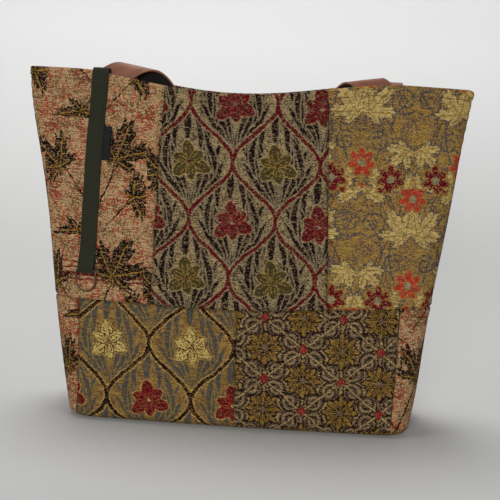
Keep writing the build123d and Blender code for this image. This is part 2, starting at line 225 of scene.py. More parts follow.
class BagCloth:
    """The outer cloth as a table of points over a share of the half girth and a height."""

    LEVELS = 140
    STEPS = 721
    ARC_STEPS = 161
    SWELL_SHARE = 0.92
    SWELL_POWER = 0.85
    CORNER_SHARES = (0.5, 0.8)
    BEND_STEPS = 13
    # High, half way and low on the sides: share of the height, and reach
    FLARES = ((0.9, 0.2), (0.28, 0.3), (0.08, 0.2))
    FLARE_POWER = 6
    RIM_END_POWER = 4
    RIM_ROUNDING = 0.8
    # Soft unevenness: height, then period across and up, then phase
    WAVES = (
        (1.3 * MM, 205 * MM, 168 * MM, 0.4),
        (0.8 * MM, 97 * MM, 131 * MM, 2.1),
        (0.5 * MM, 61 * MM, 73 * MM, 4.0),
        (0.25 * MM, 34 * MM, 40 * MM, 1.2),
    )
    FADE = 34 * MM

    def __init__(self, sizes):
        self.sizes = sizes
        self.top = sizes.rim_height + sizes.cloth
        self.heights = np.linspace(0, self.top, self.LEVELS)
        self.shares = np.linspace(0, 1, self.STEPS)
        rows = [self.half_outline(z / self.top) for z in self.heights]
        self.x = np.array([row[0] for row in rows])
        self.y = np.array([row[1] for row in rows])
        self.girth = np.array([row[2] for row in rows])
        rise, still = self.heights[1], 0 * self.x
        across = np.stack([np.gradient(table, axis=1) for table in (self.x, self.y)] + [still], -1)
        up = np.stack([np.gradient(table, rise, axis=0) for table in (self.x, self.y)] + [still + 1], -1)
        self.normal = unit(np.cross(across, up))

    def half_outline(self, share):
        """The front half's outline at a share of the height, from side seam to side seam, evenly stepped."""
        s = self.sizes
        half_width = blend_between(s.base_width, s.mouth_width, share) / 2
        half_gusset = blend_between(s.base_depth, s.mouth_gusset, share) / 2
        swell = self.SWELL_SHARE * math.sin(math.pi * share ** self.SWELL_POWER)
        bow = blend_between(s.base_bow, s.mouth_bow, share) + s.belly * swell
        least, most = (half_gusset * limit for limit in self.CORNER_SHARES)
        corner = min(max(blend_between(s.base_corner, s.mouth_corner, share), least), most)
        radius = (half_width ** 2 + bow ** 2) / (2 * bow)
        spread = math.asin(half_width / radius)
        turns = np.linspace(-spread, spread, self.ARC_STEPS)
        arc = np.stack([radius * np.sin(turns), radius * (1 - np.cos(turns)) - half_gusset - bow], 1)
        arc = arc[np.abs(arc[:, 0]) < half_width - corner]
        bend = np.linspace(0, 1, self.BEND_STEPS)[:, None]
        wall_end = np.array([-half_width, corner - half_gusset])
        tip = np.array([-half_width, -half_gusset])
        left = (1 - bend) ** 2 * wall_end + 2 * bend * (1 - bend) * tip + bend ** 2 * arc[0]
        left = np.vstack([[[-half_width, 0]], left[:-1]])
        right = left[::-1] * np.array([-1, 1])
        line = np.vstack([left, arc, right])
        line[:, 0] += self.flare(line[:, 0], half_width, share)
        steps = run_along(line)
        even = self.shares * steps[-1]
        return np.interp(even, steps, line[:, 0]), np.interp(even, steps, line[:, 1]), steps[-1]

    def flare(self, x, half_width, share):
        """How far the sides stand out or draw in, high up and low down."""
        s = self.sizes
        near = (np.abs(x) / half_width) ** self.FLARE_POWER
        upper, middle, lower = (math.exp(-((share - place) / reach) ** 2) for place, reach in self.FLARES)
        left = -s.left_flare * upper - s.left_sag * middle
        right = s.right_flare * lower - s.right_tuck * upper
        return np.where(x < 0, left, right) * near

    def rim(self, x):
        """Height of the rim at a place across the bag."""
        s = self.sizes
        reach = np.clip(np.abs(x - s.rim_dip_place) / s.rim_dip_reach, 0, 1)
        right = np.clip(2 * x / s.mouth_width, 0, 1) ** self.RIM_END_POWER
        end = s.mouth_width / 2 - s.right_tuck
        corner = np.clip((x - end + s.rim_corner) / s.rim_corner, 0, 1)
        rounding = s.rim_corner * (1 - np.sqrt(1 - corner ** 2)) * self.RIM_ROUNDING
        return s.rim_height - s.rim_sag * (1 - reach ** 2) ** 2 - s.rim_drop * right - rounding

    def lookup(self, table, share, z):
        """Values of a table at shares of the girth and heights."""
        row = np.clip(z / self.top, 0, 1) * (self.LEVELS - 1)
        column = np.clip(share, 0, 1) * (self.STEPS - 1)
        r = np.minimum(row.astype(int), self.LEVELS - 2)
        c = np.minimum(column.astype(int), self.STEPS - 2)
        fr, fc = row - r, column - c
        if table.ndim == 3:
            fr, fc = fr[..., None], fc[..., None]
        low = table[r, c] * (1 - fc) + table[r, c + 1] * fc
        high = table[r + 1, c] * (1 - fc) + table[r + 1, c + 1] * fc
        return low * (1 - fr) + high * fr

    def at(self, share, z, side):
        """Points on the cloth and their outward normals."""
        share, z = np.broadcast_arrays(np.asarray(share, float), np.asarray(z, float))
        points = np.stack([self.lookup(self.x, share, z), self.lookup(self.y, share, z), z], -1)
        normals = self.lookup(self.normal, share, z)
        if side == BACK:
            points, normals = points * (1, -1, 1), normals * (1, -1, 1)
        return points, normals

    def girth_at(self, z):
        return np.interp(z, self.heights, self.girth)

    def seam_shares(self, place):
        """Shares of the girth, one for each of the table's heights, where the cloth crosses a line."""
        places = np.broadcast_to(place, self.heights.shape)
        return np.array([np.interp(x, row, self.shares) for x, row in zip(places, self.x)])

    def share_at(self, place, z):
        return np.interp(z, self.heights, self.seam_shares(place))

    def relief(self, points, side):
        """Soft unevenness of the cloth, fading towards the side seams and the base."""
        x, z = points[..., 0], points[..., 2]
        total = 0 * x
        for height, across, up, phase in self.WAVES:
            ripple = height * np.sin(math.tau * x / across + phase - side)
            total += ripple * np.cos(math.tau * z / up + 2 * phase)
        half_width = blend_between(self.sizes.base_width, self.sizes.mouth_width, z / self.top) / 2
        return total * np.clip((half_width - np.abs(x)) / self.FADE, 0, 1) * np.clip(z / self.FADE, 0, 1)

    def seat(self, place, z, side):
        """One point of the uneven cloth and its outward normal, as vectors."""
        points, normals = self.at(self.share_at(place, z), z, side)
        points = points + normals * self.relief(points, side)
        return Vector(points), Vector(normals)


# Modelling helpers

UP = np.array([0, 0, 1])


def woven_grid(name, points, uv):
    """A grid of cloth: rows and columns of points, with the flat cloth in its UV map."""
    rows, columns = points.shape[:2]
    bpy.ops.object.select_all(action="DESELECT")
    bpy.ops.mesh.primitive_grid_add(x_subdivisions=columns - 1, y_subdivisions=rows - 1, calc_uvs=True)
    piece = bpy.context.object
    piece.name = piece.data.name = name
    mesh = piece.data
    if len(mesh.vertices) != rows * columns:
        raise RuntimeError(f"{name}: the grid has {len(mesh.vertices)} points, not {rows * columns}")
    mesh.vertices.foreach_set("co", points.astype(np.float32).ravel())
    corners = np.empty(len(mesh.loops), np.int32)
    mesh.loops.foreach_get("vertex_index", corners)
    mesh.uv_layers.active.data.foreach_set("uv", uv.reshape(-1, 2)[corners].astype(np.float32).ravel())
    mesh.update()
    bpy.ops.object.shade_smooth()
    return piece


def pick(piece):
    """Make a piece the active one, and the only one selected."""
    bpy.ops.object.select_all(action="DESELECT")
    piece.select_set(True)
    bpy.context.view_layer.objects.active = piece


def finish_with(piece, kind, **settings):
    """Add a modifier to a piece and apply it."""
    pick(piece)
    modifier = piece.modifiers.new(kind, kind)
    for key, value in settings.items():
        setattr(modifier, key, value)
    bpy.ops.object.modifier_apply(modifier=modifier.name)


def merge_points(piece, reach, capped=False):
    """Merge points closer than a reach, and perhaps cap the open ends and turn all faces outwards."""
    pick(piece)
    bpy.ops.object.mode_set(mode="EDIT")
    bpy.ops.mesh.select_all(action="SELECT")
    bpy.ops.mesh.remove_doubles(threshold=reach)
    if capped:
        bpy.ops.mesh.fill_holes(sides=0)
        bpy.ops.mesh.select_all(action="SELECT")
        bpy.ops.mesh.normals_make_consistent(inside=False)
    bpy.ops.object.mode_set(mode="OBJECT")


def unit(vectors):
    return vectors / np.linalg.norm(vectors, axis=-1, keepdims=True)


def level(vectors):
    """Unit vectors without their upright part."""
    return unit(vectors * (1, 1, 0))


def paired(*parts):
    """Parts of places, spread over one grid."""
    return np.stack(np.broadcast_arrays(*parts), -1)


def run_along(points):
    """Length run along a line of points, at each of them."""
    return np.r_[0, np.cumsum(np.linalg.norm(np.diff(points, axis=0), axis=1))]


FINE_STEPS = 40


def smooth_line(keys, step):
    """A smooth line through key rows whose first three columns are places, evenly stepped by length."""
    keys = np.asarray(keys, float)
    gaps = np.sqrt(np.linalg.norm(np.diff(keys[:, :3], axis=0), axis=1))
    at = np.r_[0, np.cumsum(gaps)]
    slope = np.diff(keys, axis=0) / gaps[:, None]
    inner = (slope[:-1] * gaps[1:, None] + slope[1:] * gaps[:-1, None]) / (gaps[1:] + gaps[:-1])[:, None]
    slopes = np.vstack([slope[:1], inner, slope[-1:]])
    fine = np.linspace(0, at[-1], FINE_STEPS * len(keys))
    i = np.clip(np.searchsorted(at, fine, side="right") - 1, 0, len(gaps) - 1)
    t = ((fine - at[i]) / gaps[i])[:, None]
    span = gaps[i][:, None]
    line = (
        keys[i] * (2 * t ** 3 - 3 * t ** 2 + 1)
        + slopes[i] * span * (t ** 3 - 2 * t ** 2 + t)
        + keys[i + 1] * (3 * t ** 2 - 2 * t ** 3)
        + slopes[i + 1] * span * (t ** 3 - t ** 2)
    )
    run = run_along(line[:, :3])
    even = np.linspace(0, run[-1], max(2, round(run[-1] / step)))
    return np.stack([np.interp(even, run, column) for column in line.T], 1)


# The line pressed along a strap's edges: half width, depth as a share of the strap, and softness
LINE_HALF = 0.7 * MM
LINE_SHARE = 0.16
LINE_SOFT = 0.6 * MM
RIBBON_TURNS = 7
RIBBON_MERGE = 0.01 * MM


def ribbon(name, line, width, thickness, edge_line=2.8 * MM, two_faced=False):
    """A flat strap with rounded edges along a line of places and ways across; a longer way widens it."""
    places, across = line[:, :3], line[:, 3:6]
    along = unit(np.gradient(places, axis=0))
    facing = unit(np.cross(across, along))
    half, round_edge = width / 2, thickness / 2
    flat = half - round_edge
    mark = half - edge_line
    top = np.array([-flat, -mark - LINE_HALF, -mark, -mark + LINE_HALF, -mark / 2, 0])
    top = np.r_[top, -top[-2::-1]]
    dent = LINE_SHARE * thickness * np.exp(-((np.abs(top) - mark) / LINE_SOFT) ** 2)
    turns = np.linspace(math.pi / 2, -math.pi / 2, RIBBON_TURNS)[1:-1]
    right = np.stack([flat + round_edge * np.cos(turns), round_edge * np.sin(turns)], 1)
    face = np.stack([top, round_edge - dent], 1)
    half_profile = np.vstack([face, right])
    profile = np.vstack([half_profile, -half_profile, face[:1]])
    points = (
        places[:, None, :]
        + across[:, None, :] * profile[None, :, :1]
        + facing[:, None, :] * profile[None, :, 1:]
    )
    girth = run_along(profile)
    piece = woven_grid(name, points, paired(girth[None, :], run_along(places)[:, None]))
    # The underside's faces get the second material, which the handles use for painted shade
    if two_faced:
        start, end = girth[[len(half_profile), len(half_profile) + len(face) - 1]]
        across_map = piece.data.uv_layers.active.data
        middles = [np.mean([across_map[i].uv.x for i in p.loop_indices]) for p in piece.data.polygons]
        underside_shade = [int(start < middle < end) for middle in middles]
        piece.data.polygons.foreach_set("material_index", underside_shade)
    merge_points(piece, RIBBON_MERGE, capped=True)
    return piece


def copies_along(name, model, places, along, facing):
    """Copies of a small modelled shape, its X laid along and its Z facing out, as one mesh."""
    corners = np.array([vertex.co for vertex in model.data.vertices])
    faces = np.array([face.vertices for face in model.data.polygons])
    along = unit(along)
    side = unit(np.cross(facing, along))
    facing = np.cross(along, side)
    axes = np.stack([along, side, facing], 1)
    points = places[:, None, :] + np.einsum("vk,nkj->nvj", corners, axes)
    all_faces = faces[None] + (np.arange(len(places)) * len(corners))[:, None, None]
    mesh = bpy.data.meshes.new(name)
    mesh.from_pydata(points.reshape(-1, 3).tolist(), [], all_faces.reshape(-1, faces.shape[1]).tolist())
    piece = bpy.data.objects.new(name, mesh)
    bpy.context.scene.collection.objects.link(piece)
    for face in mesh.polygons:
        face.use_smooth = True
    bpy.data.objects.remove(model)
    return piece


STITCH_SINK = 1.2


def stitch_model(run, breadth):
    """One sewn stitch, longer than it is wide and sunk at both ends."""
    bpy.ops.object.select_all(action="DESELECT")
    bpy.ops.mesh.primitive_ico_sphere_add(subdivisions=2, radius=0.5)
    stitch = bpy.context.object
    for vertex in stitch.data.vertices:
        x, y, z = vertex.co
        vertex.co = (x * run, y * breadth, (z - STITCH_SINK * x * x) * breadth)
    return stitch


def hand_over(piece, body, slot, *nodes):
    """Let a finished piece ride on a body and stand for its solids; its slot is not used."""
    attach(piece, body)
    if nodes:
        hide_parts(*nodes)


# Values and groups of shader nodes


def knot_method(operation):
    """A method that puts a knot, and what is given with it, through a math node."""
    return lambda knot, *terms: knot.math(operation, *terms)


class Knot:
    """One value in a node tree, so that a pattern can be written with ordinary signs."""

    def __init__(self, tree, socket):
        self.tree = tree
        self.socket = socket

    def math(self, operation, *terms):
        node = self.tree.nodes.new("ShaderNodeMath")
        node.operation = operation
        for socket, term in zip(node.inputs, (self, *terms)):
            feed(self.tree, socket, term)
        return Knot(self.tree, node.outputs[0])

    __add__ = __radd__ = knot_method("ADD")
    __sub__ = knot_method("SUBTRACT")
    __mul__ = __rmul__ = knot_method("MULTIPLY")
    __truediv__ = knot_method("DIVIDE")
    __pow__ = knot_method("POWER")
    __abs__ = knot_method("ABSOLUTE")
    __lt__ = knot_method("LESS_THAN")
    __gt__ = knot_method("GREATER_THAN")
    either = knot_method("MAXIMUM")
    folded = knot_method("PINGPONG")
    sin = knot_method("SINE")
    cos = knot_method("COSINE")
    root = knot_method("SQRT")
    floor = knot_method("FLOOR")
    fraction = knot_method("FRACT")

    def __rsub__(self, other):
        return self * -1 + other

    def __rtruediv__(self, other):
        return self ** -1 * other

    def centred(self, span):
        """Wrapped into repeats of a span, counted from the middle of each."""
        half = span / 2
        return self.math("WRAP", half, half * -1)

    def held(self):
        """Kept between 0 and 1."""
        return self.either(0).math("MINIMUM", 1)


def feed(tree, socket, value):
    """Link a knot to a socket, or set a number on it."""
    if isinstance(value, Knot):
        tree.links.new(value.socket, socket)
    else:
        socket.default_value = value


def linear(colour):
    """A shown colour as the light values that shaders use."""
    return [c / 12.92 if c <= 0.04045 else ((c + 0.055) / 1.055) ** 2.4 for c in colour] + [1.0]


def shader_group(name, inputs, outputs, formula):
    """A node group of value sockets, made once: the formula turns a place and its inputs into its outputs."""
    known = bpy.data.node_groups.get(name)
    if known:
        return known
    tree = bpy.data.node_groups.new(name, "ShaderNodeTree")
    inputs = ("Across", "Up", *inputs)
    for labels, way in ((inputs, "INPUT"), (outputs, "OUTPUT")):
        for label in labels:
            tree.interface.new_socket(name=label, in_out=way, socket_type="NodeSocketFloat")
    source = tree.nodes.new("NodeGroupInput")
    sink = tree.nodes.new("NodeGroupOutput")
    results = formula(*[Knot(tree, source.outputs[label]) for label in inputs])
    for label, result in zip(outputs, results):
        feed(tree, sink.inputs[label], result)
    return tree


def placed(tree, group, *values):
    """A group's outputs as knots, with values or knots given to its inputs in order."""
    node = tree.nodes.new("ShaderNodeGroup")
    node.node_tree = group
    for socket, value in zip(node.inputs, values):
        feed(tree, socket, value)
    return [Knot(tree, socket) for socket in node.outputs]


def vector_of(x, y):
    node = x.tree.nodes.new("ShaderNodeCombineXYZ")
    feed(x.tree, node.inputs[0], x)
    feed(x.tree, node.inputs[1], y)
    return node.outputs[0]


def chance(x, y):
    """A fixed random value for each whole pair of numbers."""
    node = x.tree.nodes.new("ShaderNodeTexWhiteNoise")
    node.noise_dimensions = "2D"
    x.tree.links.new(vector_of(x, y), node.inputs["Vector"])
    return Knot(x.tree, node.outputs["Value"])


def clouds(x, y, size, detail=2.0):
    """Soft noise of a size in the units of x and y."""
    node = x.tree.nodes.new("ShaderNodeTexNoise")
    node.noise_dimensions = "2D"
    node.inputs["Scale"].default_value = 1 / size
    node.inputs["Detail"].default_value = detail
    x.tree.links.new(vector_of(x, y), node.inputs["Vector"])
    return Knot(x.tree, node.outputs["Fac"])


# Formulas of the pattern groups, in millimetres

STITCH_ACROSS = 1.15
STITCH_UP = 0.85
SLUB = 4.6
SLUB_SHIFT = 0.37
LATTICE_EDGE = 1.2
BLADE_POWER = 0.75
BLADE_OUTLINE = 0.75
PETAL_OUTLINE = 0.55
VEIN_PLACE = 0.4
VEIN_HALF = 0.42
VEIN_ENDS = (0.1, 0.66)
FAN_SHARE = 0.4
LOBE_POWER = 0.8
TEETH = 31
LEAF_OUTLINE = 1.0
LEAF_VEIN = 2.2
LEAF_VEIN_TAPER = 9
LEAF_VEIN_REACH = 0.84


def distance_of(x, y):
    return (x * x + y * y).root()


def leaf_breadth(t, breadth, power):
    """Shares of a leaf's length, kept to it, with half its breadth at them and whether they are on it."""
    inside = (t > 0) * (t < 1)
    t = t.held()
    return t, breadth * (t * (1 - t) * 4) ** power, inside


def stitch_formula(u, v):
    """Snap a place to its stitch, with a chance value for the stitch and one for its yarn, and its relief."""
    row = (v / STITCH_UP).floor()
    shift = (row * 0.5).fraction()
    column = u / STITCH_ACROSS + shift
    snapped_u = (column.floor() + 0.5 - shift) * STITCH_ACROSS
    snapped_v = (row + 0.5) * STITCH_UP
    tone = chance(column.floor(), row)
    slub = chance((u / SLUB + row * SLUB_SHIFT).floor(), row)
    hump = (column.fraction() * math.pi).sin() * ((v / STITCH_UP).fraction() * math.pi).sin()
    return snapped_u, snapped_v, tone, slub, hump.held().root()


def ogee_formula(u, v, width, height, thick):
    """A lattice of pointed ovals: its line and pale edges, and the place and kind of the cell inside."""
    half = width / 2
    across = u.folded(half)
    turn = v / height * math.tau
    edge = (turn.cos() + 1) * width / 4
    slope = turn.sin() * width / height * (math.tau / 4)
    gap = abs(across - edge) / (slope * slope + 1).root()
    inside = across < edge
    near_x, near_y = u.centred(width), v.centred(height)
    far_x, far_y = (u + half).centred(width), (v + height / 2).centred(height)
    x = far_x + (near_x - far_x) * inside
    y = far_y + (near_y - far_y) * inside
    return gap < thick / 2, gap < thick / 2 + LATTICE_EDGE, x, y, inside


def blade_formula(x, y, root_x, root_y, lean, curl, reach, breadth):
    """A long curved leaf: its blade and its outline."""
    t, half, inside = leaf_breadth((y - root_y) / reach, breadth, BLADE_POWER)
    gap = abs(x - (root_x + lean * t + curl * t * t))
    return (gap < half) * inside, (abs(gap - half) < BLADE_OUTLINE) * inside


def petal_formula(x, y, inner, outer, count, breadth, blunt, turn):
    """A ring of petals round a heart: the petals, their outline, their veins and the heart."""
    distance = distance_of(x, y)
    swing = (x.math("ARCTAN2", y) + turn).centred(math.tau / count)
    t, half, inside = leaf_breadth((distance - inner) / (outer - inner), breadth, blunt)
    gap = abs(swing) * distance
    outline = abs(gap - half) < PETAL_OUTLINE
    vein = (abs(gap - half * VEIN_PLACE) < VEIN_HALF) * (t > VEIN_ENDS[0]) * (t < VEIN_ENDS[1])
    return (gap < half) * inside, outline * inside, vein * inside, distance < inner


def lobed_leaf_formula(x, y, radius, lobes, waist, ragged, turn):
    """A lobed, toothed leaf that fans out to one side of its stalk: the leaf, its outline and its veins."""
    distance = distance_of(x, y)
    swing = x.math("ARCTAN2", y) + turn
    lobe = abs((swing * lobes / 2).cos())
    fan = swing.cos() * FAN_SHARE + (1 - FAN_SHARE)
    reach = radius * fan * (waist + (1 - waist) * lobe ** LOBE_POWER) * (1 + ragged * (swing * TEETH).sin())
    vein = lobe > 1 - LEAF_VEIN / (distance * distance + LEAF_VEIN_TAPER)
    return distance < reach, abs(distance - reach) < LEAF_OUTLINE, vein * (distance < reach * LEAF_VEIN_REACH)


def scroll_formula(x, y, pitch, radius, turn):
    """A coiled line: the distance to the line, and whether a place is inside the coil."""
    distance = distance_of(x, y)
    swing = y.math("ARCTAN2", x) / math.tau + turn
    return abs((distance - swing * pitch).centred(pitch)), distance < radius


def weave_formula(u, v, across, up):
    """A plain weave of over and under threads: its relief and a chance value for each thread crossing."""
    column, row = u / across, v / up
    relief = abs((column * math.pi).sin()) * 0.5 + abs((row * math.pi).sin()) * 0.5
    return relief, chance(column.floor(), row.floor())


# Pattern groups: name, inputs after the place, outputs and formula
MOTIFS = {
    "stitch": ("Stitch grid", (), ("Stitch across", "Stitch up", "Tone", "Slub", "Relief"), stitch_formula),
    "ogee": (
        "Ogee lattice",
        ("Width", "Height", "Thickness"),
        ("Line", "Edge", "Cell across", "Cell up", "Cell kind"),
        ogee_formula,
    ),
    "blade": (
        "Leaf blade",
        ("Root across", "Root up", "Lean", "Curl", "Reach", "Breadth"),
        ("Blade", "Outline"),
        blade_formula,
    ),
    "petals": (
        "Petal ring",
        ("Inner", "Outer", "Count", "Breadth", "Bluntness", "Turn"),
        ("Petals", "Outline", "Veins", "Heart"),
        petal_formula,
    ),
    "leaf": (
        "Lobed leaf",
        ("Radius", "Lobes", "Waist", "Teeth", "Turn"),
        ("Leaf", "Outline", "Veins"),
        lobed_leaf_formula,
    ),
    "scroll": ("Scroll", ("Pitch", "Radius", "Turn"), ("Distance", "Inside"), scroll_formula),
    "weave": ("Plain weave", ("Thread", "Pick"), ("Relief", "Tone"), weave_formula),
}


class Finish:
    """A material being made, with the steps that finishes share."""

    # Sockets of a mix node that is set to colours
    UNDER, OVER, RESULT = 6, 7, 2

    def __init__(self, name, coordinates):
        self.material = bpy.data.materials.new(name)
        self.material.use_nodes = True
        self.tree = self.material.node_tree
        self.shader = self.tree.nodes["Principled BSDF"]
        self.place = self.tree.nodes.new("ShaderNodeTexCoord").outputs[coordinates]

    def parts(self):
        """The three parts of a place."""
        split = self.tree.nodes.new("ShaderNodeSeparateXYZ")
        self.tree.links.new(self.place, split.inputs[0])
        return [Knot(self.tree, socket) for socket in split.outputs]

    def flat(self):
        """The place on the flat cloth, in millimetres."""
        return [part / MM for part in self.parts()[:2]]

    def motif(self, kind, *values):
        return placed(self.tree, shader_group(*MOTIFS[kind]), *values)

    def speckle(self, scale, detail=2.0):
        """Noise in space, scaled to the metre."""
        node = self.tree.nodes.new("ShaderNodeTexNoise")
        node.inputs["Scale"].default_value = scale
        node.inputs["Detail"].default_value = detail
        self.tree.links.new(self.place, node.inputs["Vector"])
        return Knot(self.tree, node.outputs["Fac"])

    def mixed(self, mask, under, over):
        """One colour laid over another where a mask is."""
        node = self.tree.nodes.new("ShaderNodeMix")
        node.data_type = "RGBA"
        feed(self.tree, node.inputs[0], mask)
        for socket, colour in ((self.UNDER, under), (self.OVER, over)):
            feed(self.tree, node.inputs[socket], colour if isinstance(colour, Knot) else linear(colour))
        return Knot(self.tree, node.outputs[self.RESULT])

    def shaded(self, colour, light):
        """A colour made lighter or darker."""
        node = self.tree.nodes.new("ShaderNodeVectorMath")
        node.operation = "SCALE"
        feed(self.tree, node.inputs[0], colour if isinstance(colour, Knot) else linear(colour)[:3])
        feed(self.tree, node.inputs["Scale"], light)
        return Knot(self.tree, node.outputs[0])

    def relief(self, height, strength, distance):
        """The surface's normals over a relief."""
        node = self.tree.nodes.new("ShaderNodeBump")
        node.inputs["Strength"].default_value = strength
        node.inputs["Distance"].default_value = distance
        feed(self.tree, node.inputs["Height"], height)
        return Knot(self.tree, node.outputs[0])

    def surface(self, values):
        """Give the shader its values, and hand out the finished material."""
        for label, value in values.items():
            feed(self.tree, self.shader.inputs[label], value)
        return self.material


class Loom(Finish):
    """A tapestry being woven: layers of dyed yarn laid over a flecked ground, stitch by stitch."""

    # Drawn lines wander off their places, over a run in millimetres
    WANDER = 3.2
    WANDER_RUN = 15.0
    FLECK_CONTRAST = 1.6
    OTHER_WANDER = (91.0, 37.0)
    HALO = 1.4
    PETAL_RAISE = 0.35
    HEART_RAISE = 0.2
    # Other yarns that come up all over
    DARK_STRENGTH = 0.8
    PALE_SHARE = 0.6
    PALE_STRENGTH = 0.6
    # How light the yarn is, by its slub, its stitch and wear, with painted light on the stitches' humps and
    # painted shade in the valleys between them
    WORN_RUN = 46.0
    WORN_LIGHT = 0.18
    LEAST_LIGHT = 0.5
    LIGHT_SPREAD = 0.9
    SLUB_LIGHT = 0.6
    STITCH_LIGHT = 0.4
    HUMP_PAINTED_LIGHT = 0.3
    VALLEY_PAINTED_SHADE = 0.78
    HUMP_HEIGHT = 0.7
    SLUB_HEIGHT = 0.25

    def __init__(self, name):
        super().__init__(name, "UV")
        self.u, self.v = self.flat()
        across, up, self.tone, self.slub, self.hump = self.motif("stitch", self.u, self.v)
        self.x = across + self.wander(across, up)
        self.y = up + self.wander(across + self.OTHER_WANDER[0], up + self.OTHER_WANDER[1])
        self.colour = None
        self.raised = 0

    def wander(self, across, up):
        return (clouds(across, up, self.WANDER_RUN) - 0.5) * self.WANDER

    def ground(self, pale, fleck, patch_size, share):
        """A ground of two yarns, mixed stitch by stitch, more of the second where the clouds are dense."""
        dense = (clouds(self.x, self.y, patch_size) - 0.5) * self.FLECK_CONTRAST + share
        self.colour = self.mixed(self.tone < dense, pale, fleck)

    def lay(self, mask, colour, raise_by=0.0):
        """Weave a colour where a mask is, and raise it a little."""
        self.colour = self.mixed(mask, self.colour, colour)
        if raise_by:
            self.raised = mask * raise_by + self.raised

    def flower(self, x, y, rings, petal, outline, heart, kind=1.0, halo=None, veined=1.0):
        """Rings of petals, perhaps on a halo that shows round them."""
        for inner, outer, count, breadth, *form in rings if halo else ():
            wide = (inner, outer + self.HALO, count, breadth + self.HALO, *form)
            self.lay(self.motif("petals", x, y, *wide)[0] * kind, halo)
        for ring in rings:
            petals, rim, veins, middle = self.motif("petals", x, y, *ring)
            self.lay(rim * kind, outline)
            self.lay(petals * (1 - rim) * kind, petal, self.PETAL_RAISE)
            self.lay(veins * kind * veined, outline)
        self.lay(middle * kind, heart, self.HEART_RAISE)

    def lobed_leaves(self, x, y, leaves):
        """Leaf, outline and veins of each leaf in a table of places, radius, lobes, waist, teeth and turn."""
        for place_x, place_y, *form in leaves:
            yield self.motif("leaf", x - place_x, y - place_y, *form)

    def show_through(self, dark, pale, share):
        """Let single stitches of other yarns come up all over, fewer of them pale."""
        self.colour = self.mixed((self.tone > 1 - share) * self.DARK_STRENGTH, self.colour, dark)
        few = self.tone < share * self.PALE_SHARE
        self.colour = self.mixed(few * self.PALE_STRENGTH, self.colour, pale)

    def finish(self):
        """Vary each yarn's tone, paint light on the stitches' humps and shade between them, give the weave
        its relief and make the cloth matt.
        """
        worn = (clouds(self.u, self.v, self.WORN_RUN) - 0.5) * self.WORN_LIGHT
        yarn = self.slub * self.SLUB_LIGHT + self.tone * self.STITCH_LIGHT
        light = yarn * self.LIGHT_SPREAD + self.LEAST_LIGHT + worn
        # Painted shade and light: the colour is darker in the valleys between the stitches and lighter on
        # their humps
        light = light * (self.hump * self.HUMP_PAINTED_LIGHT + self.VALLEY_PAINTED_SHADE)
        height = self.hump * self.HUMP_HEIGHT + self.slub * self.SLUB_HEIGHT + self.raised
        return self.surface({
            "Base Color": self.shaded(self.colour, light),
            "Normal": self.relief(height, strength=0.7, distance=0.45 * MM),
            "Roughness": self.tone * 0.16 + 0.8,
            "Specular IOR Level": 0.06,
        })


# Rings of petals: inner, outer, count, breadth, bluntness and turn
LILY = ((1.8, 21.0, 3, 6.4, 0.65, 0.0), (1.8, 17.0, 3, 5.0, 0.65, math.pi / 3))
DAISY = ((3.6, 14.2, 7, 3.9, 0.45, 0.0),)
ROSETTE = ((2.8, 14.5, 8, 2.7, 0.7, math.pi / 8), (2.8, 18.0, 8, 3.1, 0.7, 0.0))
FLECK_SHARE = 0.36

LATTICE_CELL = (84.0, 112.0)
LATTICE_LINE = 3.6
LEAF_SWAY = 2.4
LILY_TILT = 0.16
LILY_LIFT = 2
# Long leaves of a lattice cell: root across and up, lean, curl and reach as shares of the cell, then breadth
LATTICE_BLADES = (
    (0.00, -0.50, 0.06, 0.02, 0.40, 3.0),
    (0.02, -0.50, 0.12, 0.20, 0.86, 3.6),
    (0.03, -0.46, 0.26, 0.12, 0.64, 4.4),
    (0.03, -0.44, 0.36, 0.02, 0.46, 4.4),
    (0.05, -0.40, 0.30, 0.20, 0.30, 3.6),
    (0.20, -0.20, 0.24, -0.26, 0.56, 4.0),
    (0.26, -0.14, 0.16, -0.26, 0.42, 3.4),
    (0.14, 0.06, 0.12, -0.24, 0.40, 3.2),
    (0.00, 0.14, 0.08, -0.08, 0.32, 2.6),
)


def lattice_tapestry(name, dyes, across, up):
    """Pointed ovals, each with a flower over a fan of long leaves."""
    loom = Loom(name)
    loom.ground(dyes.ground, dyes.fleck, patch_size=11.0, share=FLECK_SHARE)
    width, height = LATTICE_CELL
    line, edge, x, y, kind = loom.motif("ogee", loom.x + across, loom.y + up, width, height, LATTICE_LINE)
    side = abs(x + (y / height * math.tau).sin() * LEAF_SWAY)
    for root_x, root_y, lean, curl, reach, breadth in LATTICE_BLADES:
        values = (root_x * width, root_y * height, lean * width, curl * width, reach * height, breadth)
        blade, outline = loom.motif("blade", side, y, *values)
        loom.lay(outline, dyes.rib)
        loom.lay(blade * (1 - outline) * (loom.slub > 0.06), dyes.leaf, raise_by=0.2)
    loom.lay(edge, dyes.edge)
    loom.lay(line, dyes.line, raise_by=0.35)
    turned_x, turned_y = x + y * LILY_TILT, y - x * LILY_TILT + LILY_LIFT
    for share, petal, outline, heart in (
        (kind, dyes.bloom, dyes.bloom_rim, dyes.rib), (1 - kind, dyes.other_bloom, dyes.other_rim, dyes.bloom)
    ):
        loom.flower(turned_x, turned_y, LILY, petal, outline, heart, share, halo=dyes.edge)
    loom.show_through(dyes.fleck, dyes.ground, share=0.16)
    return loom.finish()


GARDEN_CELL = (104.0, 118.0)
STEM_PLACE = 28
STEM_SWING = 10
STEM_HALF = 0.85
COIL_LINE = 0.8


